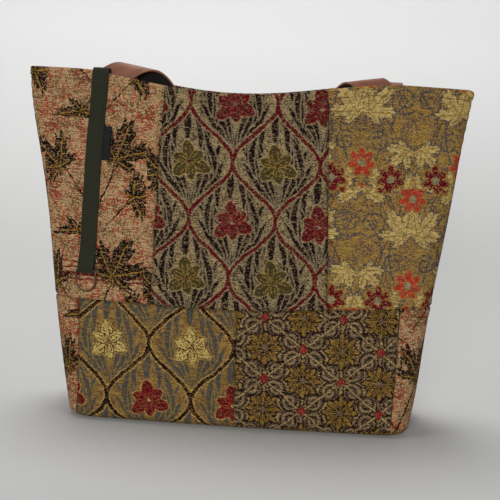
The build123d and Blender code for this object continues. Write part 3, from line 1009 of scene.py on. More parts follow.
def garden_tapestry(name, dyes, across, up):
    """Scrolling stems with broad lobed leaves and daisies of two reds, every other row shifted."""
    loom = Loom(name)
    loom.ground(dyes.ground, dyes.fleck, patch_size=15.0, share=FLECK_SHARE)
    width, height = GARDEN_CELL
    row = ((loom.y + up) / height).floor()
    x = (loom.x + across + (row * 0.5).fraction() * width).centred(width)
    y = (loom.y + up).centred(height)
    side = abs(x)
    for lift, colour in ((0.0, dyes.rim), (1.7, dyes.stem), (-13.0, dyes.rim), (15.0, dyes.rim)):
        wave = (y / height * math.tau + lift * 0.12).sin() * (STEM_SWING + lift * 0.3)
        loom.lay(abs(side - (STEM_PLACE + lift) - wave) < STEM_HALF, colour)
    for coil_x, coil_y, pitch, radius, turn in ((40.0, -34.0, 7.0, 15.0, 0.2), (16.0, 44.0, 5.4, 11.0, 0.6)):
        gap, inside = loom.motif("scroll", side - coil_x, y - coil_y, pitch, radius, turn)
        loom.lay((gap < COIL_LINE) * inside, dyes.rim)
    leaves = (
        (6.0, -46.0, 30.0, 7, 0.42, 0.08, -0.7),
        (46.0, -4.0, 25.0, 5, 0.46, 0.08, 0.9),
        (10.0, 8.0, 20.0, 5, 0.5, 0.06, -1.2),
        (44.0, 38.0, 22.0, 7, 0.42, 0.08, 2.4),
    )
    for leaf, outline, veins in loom.lobed_leaves(side, y, leaves):
        loom.lay(leaf, dyes.leaf, raise_by=0.25)
        loom.lay(veins, dyes.petal_rim)
        loom.lay(outline, dyes.rim)
    for flower_x, flower_y, colour in (
        (x, y - 24, dyes.bloom), (side - 29, y - 8, dyes.other_bloom), (x, y + 10, dyes.bloom)
    ):
        dyed = (colour, dyes.petal_rim, dyes.heart)
        loom.flower(flower_x, flower_y, DAISY, *dyed, halo=dyes.ground, veined=0.0)
    loom.show_through(dyes.fleck, dyes.leaf, share=0.18)
    return loom.finish()


LEAFY_CELL = (108.0, 116.0)
SCRIBBLE_HALF = 0.022
STIPPLE_CONTRAST = 3.0
STIPPLE_LESS = 0.06
TENDRIL_LINE = 0.7


def leafy_tapestry(name, dyes, across, up):
    """A tan ground scribbled with coral, with one bordered band, and dark leaf sprays on thin stems."""
    loom = Loom(name)
    loom.ground(dyes.ground, dyes.shade, patch_size=20.0, share=0.22)
    scribble = abs(clouds(loom.x * 1.3, loom.y * 0.8, size=11.0, detail=3.0) - 0.5) < SCRIBBLE_HALF
    speckle = clouds(loom.x * 1.5 + 40.0, loom.y * 0.6, size=24.0, detail=3.0)
    stipple = (speckle - 0.5) * STIPPLE_CONTRAST - STIPPLE_LESS > loom.slub
    loom.lay(stipple * (loom.tone > 0.3), dyes.fleck, raise_by=0.1)
    loom.lay(scribble * (loom.tone > 0.2), dyes.fleck, raise_by=0.1)
    for start, thick in ((139.0, 1.6), (143.0, 3.6), (150.0, 1.6), (156.0, 1.2)):
        loom.lay((loom.y > start) * (loom.y < start + thick), dyes.band, raise_by=0.1)
    width, height = LEAFY_CELL
    x, y = (loom.x + across).centred(width), (loom.y + up).centred(height)
    # Root across and up, lean, curl, reach and breadth
    stems = (
        (-14.0, -52.0, 60.0, -24.0, 74.0, 1.1),
        (6.0, -34.0, -54.0, 14.0, 46.0, 1.0),
        (10.0, -52.0, 26.0, 8.0, 38.0, 1.0),
    )
    for stem in stems:
        loom.lay(loom.motif("blade", x, y, *stem)[0], dyes.leaf)
    gap, inside = loom.motif("scroll", x + 2, y - 34, 4.4, 6.4, 0.3)
    loom.lay((gap < TENDRIL_LINE) * inside, dyes.leaf)
    leaves = (
        (22.0, 20.0, 42.0, 7, 0.38, 0.12, -0.4),
        (-38.0, 8.0, 38.0, 7, 0.38, 0.12, 0.8),
        (40.0, -16.0, 31.0, 5, 0.40, 0.14, -1.4),
        (-14.0, -52.0, 32.0, 7, 0.40, 0.12, 2.6),
    )
    for leaf, _, veins in loom.lobed_leaves(x, y, leaves):
        loom.lay(leaf * (loom.slub > 0.1), dyes.leaf, raise_by=0.25)
        loom.lay(veins, dyes.vein)
    loom.show_through(dyes.shade, dyes.ground, share=0.16)
    return loom.finish()


ROSETTE_CELL = (76.0, 62.0)
ROSETTE_PITCH = 5.6
# Scrolls: dark line, where the pale ground starts, and dark edge
SCROLL_LINE = 0.95
SCROLL_GROUND = 2.3
SCROLL_EDGE = 0.9
TRELLIS_RUN = 24
# The dark below, then the pale trellis or red lozenge on it
TRELLIS_HALVES = (1.5, 0.9)
LOZENGE_HALVES = (6.0, 4.8)
ROSETTE_DISC = 15.0


def rosette_tapestry(name, dyes, across, up):
    """Golden rosettes among grey scrolls, red lozenges and a thin pale trellis."""
    loom = Loom(name)
    loom.ground(dyes.ground, dyes.fleck, patch_size=9.0, share=FLECK_SHARE)
    width, height = ROSETTE_CELL
    half_width, half_height = width / 2, height / 2
    u, v = loom.x + across, loom.y + up
    x, y = u.centred(width), v.centred(height)
    far_x, far_y = (u + half_width).centred(width), (v + half_height).centred(height)
    side, rise = abs(x), abs(y)
    for coil_x, coil_y, radius, turn in ((26.5, 9.8, 9.6, 0.1), (11.5, 21.2, 9.6, 0.6)):
        gap_x, gap_y = side - coil_x, rise - coil_y
        gap, inside = loom.motif("scroll", gap_x, gap_y, ROSETTE_PITCH, radius, turn)
        loom.lay(inside, dyes.scroll, raise_by=0.2)
        loom.lay((gap < SCROLL_LINE) * inside, dyes.rim)
        loom.lay((gap > SCROLL_GROUND) * inside, dyes.ground)
        loom.lay(abs(distance_of(gap_x, gap_y) - radius) < SCROLL_EDGE, dyes.rim)
    trellis = abs(side / half_width + rise / half_height - 1) * TRELLIS_RUN
    loom.lay(trellis < TRELLIS_HALVES[0], dyes.rim)
    loom.lay(trellis < TRELLIS_HALVES[1], dyes.ground, raise_by=0.2)
    for place_x, place_y in ((half_width - side, rise), (side, half_height - rise)):
        lozenge = place_x + place_y
        loom.lay(lozenge < LOZENGE_HALVES[0], dyes.rim)
        loom.lay(lozenge < LOZENGE_HALVES[1], dyes.lozenge, raise_by=0.3)
    for centre_x, centre_y in ((x, y), (far_x, far_y)):
        loom.lay(centre_x * centre_x + centre_y * centre_y < ROSETTE_DISC ** 2, dyes.rim)
        loom.flower(centre_x, centre_y, ROSETTE, dyes.bloom, dyes.rim, dyes.scroll, halo=dyes.rim)
    loom.show_through(dyes.fleck, dyes.ground, share=0.18)
    return loom.finish()


def plain_cloth(name, colour, across, up, roughness=0.85, tone_and_painted_shade=0.5):
    """A one-coloured woven cloth with visible threads, its colour lighter on the threads and darker between
    them as painted shade.
    """
    cloth = Finish(name, "UV")
    u, v = cloth.flat()
    relief, tone = cloth.motif("weave", u, v, across, up)
    worn = (clouds(u, v, size=22.0) - 0.5) * 0.3
    # Painted shade: the weave's relief also lightens the colour on the threads and darkens it between them
    light = tone * tone_and_painted_shade * 0.6 + relief * tone_and_painted_shade * 0.6 + (1 - tone_and_painted_shade * 0.55) + worn
    return cloth.surface({
        "Base Color": cloth.shaded(colour, light),
        "Normal": cloth.relief(relief + tone * 0.3, strength=0.6, distance=0.25 * MM),
        "Roughness": roughness,
        "Sheen Weight": 0.02,
        "Specular IOR Level": 0.12,
    })


def strap_leather(name, face, dark):
    """Soft brown strap leather with fine grain and long, lighter streaks."""
    leather = Finish(name, "UV")
    u, v = leather.flat()
    grain = clouds(u, v, size=1.1, detail=5.0)
    streak = clouds(u * 0.35, v * 0.08, size=2.2, detail=3.0)
    return leather.surface({
        "Base Color": leather.mixed((streak * 0.7 + grain * 0.5 - 0.2).held(), dark, face),
        "Normal": leather.relief(grain + streak * 0.6, strength=0.5, distance=0.3 * MM),
        "Roughness": grain * 0.25 + 0.42,
        "Specular IOR Level": 0.35,
    })


def ring_bronze(name, wire, worn):
    """Dark bronze wire, rubbed brighter in places."""
    bronze = Finish(name, "Object")
    rub = bronze.speckle(scale=420.0, detail=4.0)
    return bronze.surface({
        "Base Color": bronze.mixed(rub, wire, worn),
        "Roughness": rub * 0.3 + 0.22,
        "Metallic": 1.0,
    })


def thread_finish(name, colour):
    """Twisted sewing thread."""
    thread = Finish(name, "Object")
    light = thread.speckle(scale=900.0) * 0.8 + 0.6
    return thread.surface({"Base Color": thread.shaded(colour, light), "Roughness": 0.7})


# Places of the seams, taken from the solids

upper_centre_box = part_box("front_upper_centre")
lower_left_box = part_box("front_lower_left")
lower_right_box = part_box("front_lower_right")
UPPER_SEAMS = (upper_centre_box[0].x, upper_centre_box[1].x)
LOWER_SEAMS = (lower_left_box[0].x, lower_right_box[0].x, lower_right_box[1].x)
ROW_SEAM = lower_left_box[1].z
# How far each seam leans off its solid's edge, at its lower and its upper end
UPPER_LEANS = ((-3 * MM, 2 * MM), (7 * MM, -5 * MM))
LOWER_LEANS = ((0, 0), (4 * MM, 2 * MM), (-1 * MM, 1 * MM))
ROWS = (
    ("upper", ("left", "centre", "right"), UPPER_SEAMS, UPPER_LEANS),
    ("lower", ("left_strip", "left", "right", "right_strip"), LOWER_SEAMS, LOWER_LEANS),
)
PATCH_FINISH = {
    "upper_left": "tapestry_coral",
    "upper_centre": "tapestry_ivory",
    "upper_right": "tapestry_gold",
    "lower_left_strip": "tapestry_coral",
    "lower_left": "tapestry_ochre",
    "lower_right": "tapestry_rosette",
    "lower_right_strip": "tapestry_coral",
}
# Each print: its finish, how it is woven, its name, its dyes and how far it is shifted across and up
PRINTS = (
    ("tapestry_ivory", lattice_tapestry, "Ivory lattice tapestry", "tote_ivory", 12.0, 16.0),
    ("tapestry_ochre", lattice_tapestry, "Ochre lattice tapestry", "tote_ochre", 46.0, 30.0),
    ("tapestry_gold", garden_tapestry, "Gold garden tapestry", "tote_gold", -112.0, -10.0),
    ("tapestry_coral", leafy_tapestry, "Coral leaf tapestry", "tote_coral", 150.0, -8.0),
    ("tapestry_rosette", rosette_tapestry, "Rosette tapestry", "tote_rosette", 12.0, 8.0),
)
# The side strips are cut from the coral print elsewhere, where a leaf spray falls inside them
PRINT_SHIFTS = {"lower_left_strip": (-16 * MM, -34 * MM), "lower_right_strip": (16 * MM, -32 * MM)}
THREAD_STEP = 2.2 * MM
SEAM_STEPS = (0.0, 0.35 * MM, 0.9 * MM, 1.8 * MM)
SEAM_REACH = 1.15 * MM
SEAM_ROLL = 0.5 * MM
ROLL_PLACE = 4 * MM
ROLL_REACH = 2.6 * MM
PUCKER = 0.34 * MM
PUCKER_REACH = 8 * MM
PUCKER_RUN = 13 * MM
PUCKER_WANDER = 2.2
WANDER_RUN = 17 * MM
SEAM_CALM = 14 * MM
HEM_TURN = 1.75 * MM
HEM_SOFT = 0.35 * MM
HEM_DENT = 1.1 * MM
DENT_REACH = 0.75 * MM
HEM_DROPS = tuple(drop * MM for drop in (14, 12.6, 11.6, 10.9, 10.2, 9.7, 9.2, 8.6, 7.8, 6.4, 4.8, 3.2, 1.75))
HEM_STEPS = 6
FOLD_TURNS = 7
BASE_TURNS = 6
UNDER_STEPS = 18
SETTLE_ROUNDS = 3
PATCH_MERGE = 0.04 * MM
BACK_SHIFT = 31 * MM


def steps_between(span):
    """Shares from 0 to 1 over a span, even inside and closer together at both ends."""
    near = SEAM_STEPS[-1]
    middle = np.linspace(near, span - near, max(2, round(span / THREAD_STEP)))
    return np.r_[SEAM_STEPS[:-1], middle, span - np.array(SEAM_STEPS[-2::-1])] / span


def row_seam(sizes, x):
    """Height of the seam between the two rows of patches, rising towards the right."""
    return ROW_SEAM + sizes.seam_tilt * np.clip(x / (sizes.base_width / 2), 0, 1)


def seam_pull(sizes, distance, along):
    """How far a seam draws the cloth in: a sharp dip, a soft roll beside it and puckers along it."""
    near = np.exp(-(distance / SEAM_REACH) ** 2)
    roll = SEAM_ROLL * np.exp(-((distance - ROLL_PLACE) / ROLL_REACH) ** 2)
    wander = np.sin(math.tau * along / PUCKER_RUN + PUCKER_WANDER * np.sin(along / WANDER_RUN))
    puckers = PUCKER * wander * np.exp(-(distance / PUCKER_REACH) ** 2) * (1 - near)
    return roll + puckers - sizes.seam_depth * near


def hem_pull(sizes, drop):
    """The hem stands proud of the cloth and is drawn in along its row of stitches."""
    proud = sizes.hem_proud / (1 + np.exp((drop - sizes.hem_depth) / HEM_SOFT))
    return proud - HEM_DENT * np.exp(-((drop - sizes.stitch_drop) / DENT_REACH) ** 2)


class Patch:
    """One patch of tapestry: its edges across, and the grids of points that its row needs."""

    def __init__(self, cloth, left, right, side):
        self.cloth = cloth
        self.sizes = cloth.sizes
        self.side = side
        self.left = 0 * cloth.heights if left is None else cloth.seam_shares(left)
        self.right = 0 * cloth.heights + 1 if right is None else cloth.seam_shares(right)
        middle = cloth.girth_at(ROW_SEAM) * (self.edges(ROW_SEAM)[1] - self.edges(ROW_SEAM)[0])
        self.columns = steps_between(middle)
        if side == BACK:
            self.columns = self.columns[::-1]

    def edges(self, z):
        return np.interp(z, self.cloth.heights, self.left), np.interp(z, self.cloth.heights, self.right)

    def share(self, z):
        """Shares of the girth of every column at heights."""
        left, right = self.edges(z)
        return left + (right - left) * self.columns

    def flat_across(self, share, z):
        """Cloth across from the bag's middle line, counted to the viewer's right on either side."""
        across = (share - 0.5) * self.cloth.girth_at(z)
        return across if self.side == FRONT else BACK_SHIFT - across

    def side_distance(self, share, z):
        left, right = self.edges(z)
        return np.minimum(share - left, right - share) * self.cloth.girth_at(z)

    def shaped(self, share, z, pull):
        """Points of the cloth, pulled in or out of its smooth form."""
        points, normals = self.cloth.at(share, z, self.side)
        lift = self.cloth.relief(points, self.side) + pull
        calm = np.clip((z - self.sizes.base_edge) / SEAM_CALM, 0, 1)
        lift = lift + seam_pull(self.sizes, self.side_distance(share, z), z) * calm
        return points + normals * lift[..., None], normals

    def upper(self):
        """Points and flat places from the row seam up, over the rim's fold and down inside it."""
        s, cloth = self.sizes, self.cloth
        drops = np.array(HEM_DROPS)[:, None]
        rise = steps_between(s.rim_height - ROW_SEAM)[:1 - len(SEAM_STEPS), None]
        climb = np.concatenate([rise, 0 * drops + 1])
        z = ROW_SEAM + (s.rim_height - ROW_SEAM) * climb + 0 * self.columns
        for _ in range(SETTLE_ROUNDS):
            x = cloth.at(self.share(z), z, self.side)[0][..., 0]
            bottom, rim = row_seam(s, x), cloth.rim(x)
            plain = bottom + (rim - drops[0] - THREAD_STEP - bottom) * climb
            z = np.concatenate([plain[:len(rise)], rim[len(rise):] - drops])
        share = self.share(z)
        pull = seam_pull(s, z - bottom, x) + hem_pull(s, cloth.rim(x) - z)
        points, normals = self.shaped(share, z, pull)
        flat = np.stack([self.flat_across(share, z), z], -1)
        turn = np.linspace(0, math.pi, FOLD_TURNS)[1:-1, None, None]
        inward = level(normals[-1])
        fold = points[-1] - inward * HEM_TURN * (1 - np.cos(turn)) + UP * HEM_TURN * np.sin(turn)
        drop = np.linspace(0, s.hem_depth, HEM_STEPS)[:, None]
        inner_z = z[-1] - drop
        inner, inner_normals = cloth.at(self.share(inner_z), inner_z, self.side)
        lift = (cloth.relief(inner, self.side) + hem_pull(s, 0) - 2 * HEM_TURN)[..., None]
        inner = inner + level(inner_normals) * lift
        fold_flat = flat[-1] + paired(0.0, HEM_TURN * turn[..., 0])
        inner_flat = flat[-1] + paired(0.0, math.pi * HEM_TURN + drop)
        return np.concatenate([points, fold, inner]), np.concatenate([flat, fold_flat, inner_flat])

    def lower(self):
        """Points and flat places from the row seam down, round the base's edge and under to its middle."""
        s, cloth = self.sizes, self.cloth
        sink = steps_between(ROW_SEAM - s.base_edge)[:, None]
        z = ROW_SEAM + (s.base_edge - ROW_SEAM) * sink + 0 * self.columns
        for _ in range(SETTLE_ROUNDS):
            x = cloth.at(self.share(z), z, self.side)[0][..., 0]
            top = row_seam(s, x)
            z = top + (s.base_edge - top) * sink
        share = self.share(z)
        points, normals = self.shaped(share, z, seam_pull(s, top - z, x))
        flat = np.stack([self.flat_across(share, z), z], -1)
        turn = np.linspace(0, math.pi / 2, BASE_TURNS)[1:, None, None]
        inward = level(normals[-1])
        edge = points[-1] - inward * s.base_edge * (1 - np.cos(turn)) - UP * s.base_edge * np.sin(turn)
        under_share = np.linspace(0, 1, UNDER_STEPS)[1:, None, None]
        reach = np.abs(cloth.at(np.array([0.0, 1.0]), s.base_edge, self.side)[0][:, 0]) - s.base_edge
        inner = paired(blend_between(-reach[0], reach[1], share[-1]), 0, 0)
        under = blend_between(edge[-1] * (1, 1, 0), inner, under_share)
        edge_flat = flat[-1] - paired(0.0, s.base_edge * turn[..., 0])
        under_flat = edge_flat[-1] - paired(0.0, np.abs(edge[-1][:, 1]) * under_share[..., 0])
        grid = np.concatenate([points, edge, under])[::-1]
        return grid, np.concatenate([flat, edge_flat, under_flat])[::-1]


class TOTE_OT_patches(bpy.types.Operator):
    """Sew the fourteen tapestry patches of the front and back"""

    bl_idname = "tote.patches"
    bl_label = "Tapestry patches"

    def execute(self, context):
        scene = context.scene
        cloth = BagCloth(scene.tote_sizes)
        finishes = {
            slot: weave(name, getattr(scene, dyes), *place) for slot, weave, name, dyes, *place in PRINTS
        }
        for face, side in SIDES:
            for row, names, seams, leans in ROWS:
                span = (ROW_SEAM, cloth.top) if row == "upper" else (0, ROW_SEAM)
                lines = [x + np.interp(cloth.heights, span, lean) for x, lean in zip(seams, leans)]
                places = (None, *lines, None)
                for name, left, right in zip(names, places[:-1], places[1:]):
                    self.sew(cloth, f"{face}_{row}_{name}", left, right, side, finishes)
        return {"FINISHED"}

    def sew(self, cloth, node, left, right, side, finishes):
        """Make one patch and let it stand for its solid."""
        patch = Patch(cloth, left, right, side)
        points, flat = patch.upper() if "upper" in node else patch.lower()
        place = node.split("_", 1)[1]
        piece = woven_grid(f"{node}_cloth", points, flat + PRINT_SHIFTS.get(place, (0, 0)))
        merge_points(piece, PATCH_MERGE)
        finish_with(piece, "SOLIDIFY", thickness=cloth.sizes.cloth, offset=-1.0)
        slot = PATCH_FINISH[place]
        piece.data.materials.append(finishes[slot])
        hand_over(piece, "bag", slot, node)
        width = np.ptp(flat[..., 0], axis=1)
        spread = np.sum((width[1:] + width[:-1]) / 2 * np.abs(np.diff(flat[:, 0, 1])))
        span = float(np.ptp(flat[..., 1]))


class TOTE_OT_lining(bpy.types.Operator):
    """Hang the black lining inside the bag"""

    bl_idname = "tote.lining"
    bl_label = "Lining"

    COLUMNS = 131
    LEVELS = 78
    SOLE_STEPS = 14
    FOLD = 2.2 * MM
    FOLD_RUN = 13 * MM
    FOLD_REACH = 50 * MM
    FOLD_WANDER = 1.4
    FOLD_WANDER_RUN = 37 * MM
    MERGE = 0.02 * MM

    def execute(self, context):
        s = context.scene.tote_sizes
        cloth = BagCloth(s)
        front, back = (self.half(cloth, side) for side in (FRONT, BACK))
        points = np.concatenate([front, back[:, 1:]], axis=1)
        columns = np.linspace(0, 2 * cloth.girth_at(s.rim_height / 2), points.shape[1])
        heights = np.linspace(-s.base_depth / 2, s.rim_height, points.shape[0])
        piece = woven_grid("lining_sack", points, paired(columns[None], heights[:, None]))
        merge_points(piece, self.MERGE)
        finish_with(piece, "SOLIDIFY", thickness=s.lining, offset=1.0)
        cotton = plain_cloth("Lining cotton", context.scene.tote_plain.lining, across=0.5, up=0.5)
        piece.data.materials.append(cotton)
        hand_over(piece, "bag", "lining_black", "lining")
        return {"FINISHED"}

    def half(self, cloth, side):
        """Half of the sack, from its base's middle up to its edge, with soft folds well below the rim."""
        s = cloth.sizes
        row = np.linspace(0, 1, self.COLUMNS)
        if side == BACK:
            row = row[::-1]
        top = cloth.rim(cloth.at(row, s.rim_height, side)[0][..., 0]) - s.lining_drop
        z = s.base_edge + (top - s.base_edge) * np.linspace(1, 0, self.LEVELS)[:, None]
        points, normals = cloth.at(row, z, side)
        calm = np.clip((top - z) / self.FOLD_REACH, 0, 1)
        wander = self.FOLD_WANDER * np.sin(z / self.FOLD_WANDER_RUN)
        folds = self.FOLD * (1 + np.sin(points[..., 0] / self.FOLD_RUN + wander + side)) * calm
        lift = cloth.relief(points, side) - s.lining_inset - folds
        wall = points + level(normals) * lift[..., None]
        sole = np.linspace(0, 1, self.SOLE_STEPS)[1:, None, None]
        base = wall[-1] * (1, 1, 0) + UP * s.lining_inset
        under = base * (1, 0, 1) + base * (0, 1, 0) * (1 - sole)
        return np.concatenate([wall, under])[::-1]


# Handles: key places along a strap, and the way across it at each

STRAP_STEP = 2.5 * MM
STRAP_GAP = 1.2 * MM
TAB_DEPTH = 14 * MM
# Where each end of the front handle leaves the rim, and the radius of its fold
FRONT_ENDS = ((-0.1365, 0.011), (0.117, 0.0042))
FRONT_LEAN = math.radians(46)
FRONT_RISE = 1.8 * MM
FOLD_FLAT_SHARE = 0.6
FOLD_SPREAD_SHARE = 0.1
FOLD_TILT = math.radians(9)
FOLD_STEPS = 8
LEG_SHIFT = 0.0167
DROP_STEPS = 6
LOOP_PLACE = -0.015
LOOP_DROP = 0.198
LOOP_ROUND = 0.080
LOOP_STEPS = 7
EDGE_ON = Vector((0, 1, 0))
BACK_FOOT = 0.136
BACK_CREST = 0.6 * MM
BACK_LEG = 0.070
BACK_ROUND = 0.130
CREST_STEPS = 4
LEG_STEPS = 3


def rim_axes(cloth, place, side):
    """A point of the rim with its directions along the rim, up the cloth and outwards."""
    point, out = cloth.seat(place, float(cloth.rim(place)), side)
    along = Vector((0, 0, 1)).cross(out).normalized()
    return point, along, out.cross(along), out


def front_end(cloth, foot, fold):
    """Keys of one end of the front handle: leaning out of the rim, folded back, then dropping inside.

    Up to the end of the fold the strap is cut along its crease, so each cut stays straight as it bends.
    """
    s = cloth.sizes
    toward = math.copysign(1, -foot)
    point, rim_along, rim_up, out = rim_axes(cloth, foot, FRONT)
    crease = rim_along * toward * math.cos(FOLD_TILT) - rim_up * math.sin(FOLD_TILT)
    up = rim_along * toward * math.sin(FOLD_TILT) + rim_up * math.cos(FOLD_TILT)
    rim = point - out * (s.lining_inset + STRAP_GAP + s.strap / 2)
    keys = []
    bends = [fold * math.pi * i / FOLD_STEPS for i in range(FOLD_STEPS + 1)]
    for climb in [-TAB_DEPTH, -TAB_DEPTH / 2] + [FRONT_RISE + bend for bend in bends]:
        turn = max(climb - FRONT_RISE, 0) / fold
        rise = min(climb, FRONT_RISE) + fold * math.sin(turn)
        back = fold * FOLD_FLAT_SHARE * (1 - math.cos(turn))
        place = rim + crease * climb * math.tan(FRONT_LEAN) + up * rise - out * back
        spread = 1 + FOLD_SPREAD_SHARE * turn / math.pi
        keys.append((*place, *(crease * spread / math.cos(FRONT_LEAN))))
    leg = Vector((place.x + toward * LEG_SHIFT, LOOP_PLACE, s.rim_height - LOOP_DROP + LOOP_ROUND))
    heading = crease * math.sin(FRONT_LEAN) - up * math.cos(FRONT_LEAN)
    reach = (leg - place).length / 3
    pulls = (place + heading * reach, leg + Vector((0, 0, reach)))
    path = interpolate_bezier(place, *pulls, leg, DROP_STEPS + 1)
    for i in range(1, DROP_STEPS + 1):
        along = (path[min(i + 1, DROP_STEPS)] - path[i - 1]).normalized()
        across = crease.lerp(EDGE_ON, (i / DROP_STEPS) ** 2)
        across = (across - along * across.dot(along)).normalized()
        keys.append((*path[i], *across))
    return keys


def loop_keys(leg, end, top, depth, place):
    """Keys of a handle's round lower end from one leg to the middle of its loop."""
    keys = []
    for i in range(1, LOOP_STEPS + 1):
        turn = math.pi / 2 * i / LOOP_STEPS
        x, z = end + (leg - end) * math.cos(turn), top - depth * math.sin(turn)
        y, across = place(x, z)
        keys.append((x, y, z, *across))
    return keys


def back_leg_keys(cloth, foot):
    """Keys of one end of the back handle: out of the rim, over it and down the back, turning edge on."""
    s = cloth.sizes
    toward = math.copysign(1, -foot)
    rim = float(cloth.rim(foot))
    point, rim_along, up, out = rim_axes(cloth, foot, BACK)
    layer = s.lining_inset + STRAP_GAP + s.strap / 2
    outer = s.hem_proud + STRAP_GAP + s.strap / 2
    bend = (outer + layer) / 2
    flat = rim_along * -toward
    sewn = point - out * layer
    keys = [(*(sewn - up * TAB_DEPTH), *flat)]
    for i in range(CREST_STEPS + 1):
        turn = math.pi * i / CREST_STEPS
        over = sewn + out * bend * (1 - math.cos(turn)) + up * (BACK_CREST + bend * math.sin(turn))
        keys.append((*over, *flat))
    for i in range(1, LEG_STEPS + 1):
        turn = math.pi / 2 * i / LEG_STEPS
        place, facing = cloth.seat(foot, rim - BACK_LEG * i / LEG_STEPS, BACK)
        stand = s.hem_proud + STRAP_GAP + (s.strap * math.cos(turn) + s.strap_width * math.sin(turn)) / 2
        across = Vector((0, 0, 1)).cross(facing).normalized() * -toward * math.cos(turn)
        keys.append((*(place + Vector((0, stand, 0))), *(across + Vector((0, math.sin(turn), 0)))))
    return keys


class TOTE_OT_handles(bpy.types.Operator):
    """Make the two strap handles"""

    bl_idname = "tote.handles"
    bl_label = "Handles"

    def execute(self, context):
        scene = context.scene
        s = scene.tote_sizes
        cloth = BagCloth(s)
        face = strap_leather("Strap leather", scene.tote_plain.strap, scene.tote_plain.strap_dark)
        # Painted shade: the handles' undersides are given near-black cloth where shade falls
        underside_shade = plain_cloth("Strap backing", scene.tote_plain.strap_back, across=0.6, up=0.6)
        for node, keys in (("front_handle", self.front(cloth)), ("back_handle", self.back(cloth))):
            line = smooth_line(keys, STRAP_STEP)
            piece = ribbon(f"{node}_strap", line, s.strap_width, s.strap, two_faced=True)
            piece.data.materials.append(face)
            piece.data.materials.append(underside_shade)
            hand_over(piece, "bag", "strap_brown", node)
        return {"FINISHED"}

    def front(self, cloth):
        """Keys of the handle that drops inside the bag, from its left end to its right one."""
        ends = [front_end(cloth, *end) for end in FRONT_ENDS]
        middle = sum(keys[-1][0] for keys in ends) / len(ends)
        halves = []
        for keys in ends:
            leg, _, top = keys[-1][:3]
            halves.append(keys + loop_keys(leg, middle, top, LOOP_ROUND, lambda x, z: (LOOP_PLACE, EDGE_ON)))
        return halves[0] + halves[1][-2::-1]

    def back(self, cloth):
        """Keys of the handle that hangs behind the bag."""
        s = cloth.sizes

        def behind(x, z):
            stand = s.hem_proud + STRAP_GAP + s.strap_width / 2
            return cloth.seat(x, z, BACK)[0].y + stand, (0, 1, 0)

        left = back_leg_keys(cloth, -BACK_FOOT)
        left += loop_keys(-BACK_FOOT, 0, left[-1][2], BACK_ROUND, behind)
        right = [(-x, y, z, -ax, ay, az) for x, y, z, ax, ay, az in left[-2::-1]]
        return left + right


# Key leash, its blank label and its ring

LEASH_PLACE = -0.1525
LEASH_LEAN = 0.003
LEAN_POWER = 1.5
LEASH_TAB = 0.010
LEASH_DROP = 0.195
LEASH_FOLD = 0.016
LEASH_GAP = 0.5 * MM
LEASH_EDGE = 1.6 * MM
LEASH_STEP = 0.8 * MM
LAYER_GAP = 0.15 * MM
CREST_TURNS = 7
BAR_TURNS = 9
# Where the tape lies on the cloth: first and last share of its drop, and the number of keys
ON_CLOTH = (0.14, 0.86, 15)
TAB_REACH = 0.009
TAB_SEAT = 0.004
TAB_LENGTH = 0.033
TAB_CLOTH = 0.5 * MM
TAB_BELOW_RIM = 0.053
TAB_COLUMNS = 15
TAB_ROWS = 26
TAB_WAVE = 0.5 * MM
TAB_WAVE_RUN = 6 * MM
TAB_CURL = 0.9 * MM
TAB_TILT = 0.35 * MM
RING_WIRE = 0.002
RING_GAP = 0.1 * MM
LEASH_STITCH_DROPS = (0.0105, 0.183)
LEASH_STITCHES = 7
LEASH_STITCH = (2.3 * MM, 0.7 * MM)
DOUBLED_SHARE = 0.75


class LeashPlane:
    """The upright plane that the key leash hangs in, square to the cloth."""

    def __init__(self, cloth):
        s = cloth.sizes
        self.cloth = cloth
        ends = np.array([LEASH_PLACE - s.leash_width / 2, LEASH_PLACE + s.leash_width / 2])
        self.rim = float(np.max(cloth.rim(ends))) + LAYER_GAP
        middle = self.rim - LEASH_DROP / 2
        point, out = cloth.at(cloth.share_at(LEASH_PLACE, middle), middle, FRONT)
        self.out = Vector((out[0], out[1], 0)).normalized()
        self.across = Vector((0, 0, 1)).cross(self.out).normalized()
        self.origin = Vector((point[0], point[1], 0))

    def cloth_out(self, z):
        """How far out the cloth stands in this plane at a height."""
        half = self.cloth.STEPS // 2
        x, y = (
            np.array([np.interp(z, self.cloth.heights, column) for column in table.T[:half]])
            for table in (self.cloth.x, self.cloth.y)
        )
        offset = (x - self.origin.x) * self.across.x + (y - self.origin.y) * self.across.y
        share = np.interp(0, offset, self.cloth.shares[:half])
        points, normals = self.cloth.at(share, z, FRONT)
        points = points + normals * self.cloth.relief(points, FRONT)
        return float((points[0] - self.origin.x) * self.out.x + (points[1] - self.origin.y) * self.out.y)

    def place(self, out, z):
        """A point of the plane, leaning aside towards the rim as the tape does."""
        above = max(0, 1 - 2 * (self.rim - z) / LEASH_DROP)
        aside = self.across * LEASH_LEAN * above ** LEAN_POWER
        return self.origin + self.out * out + aside + Vector((0, 0, z))


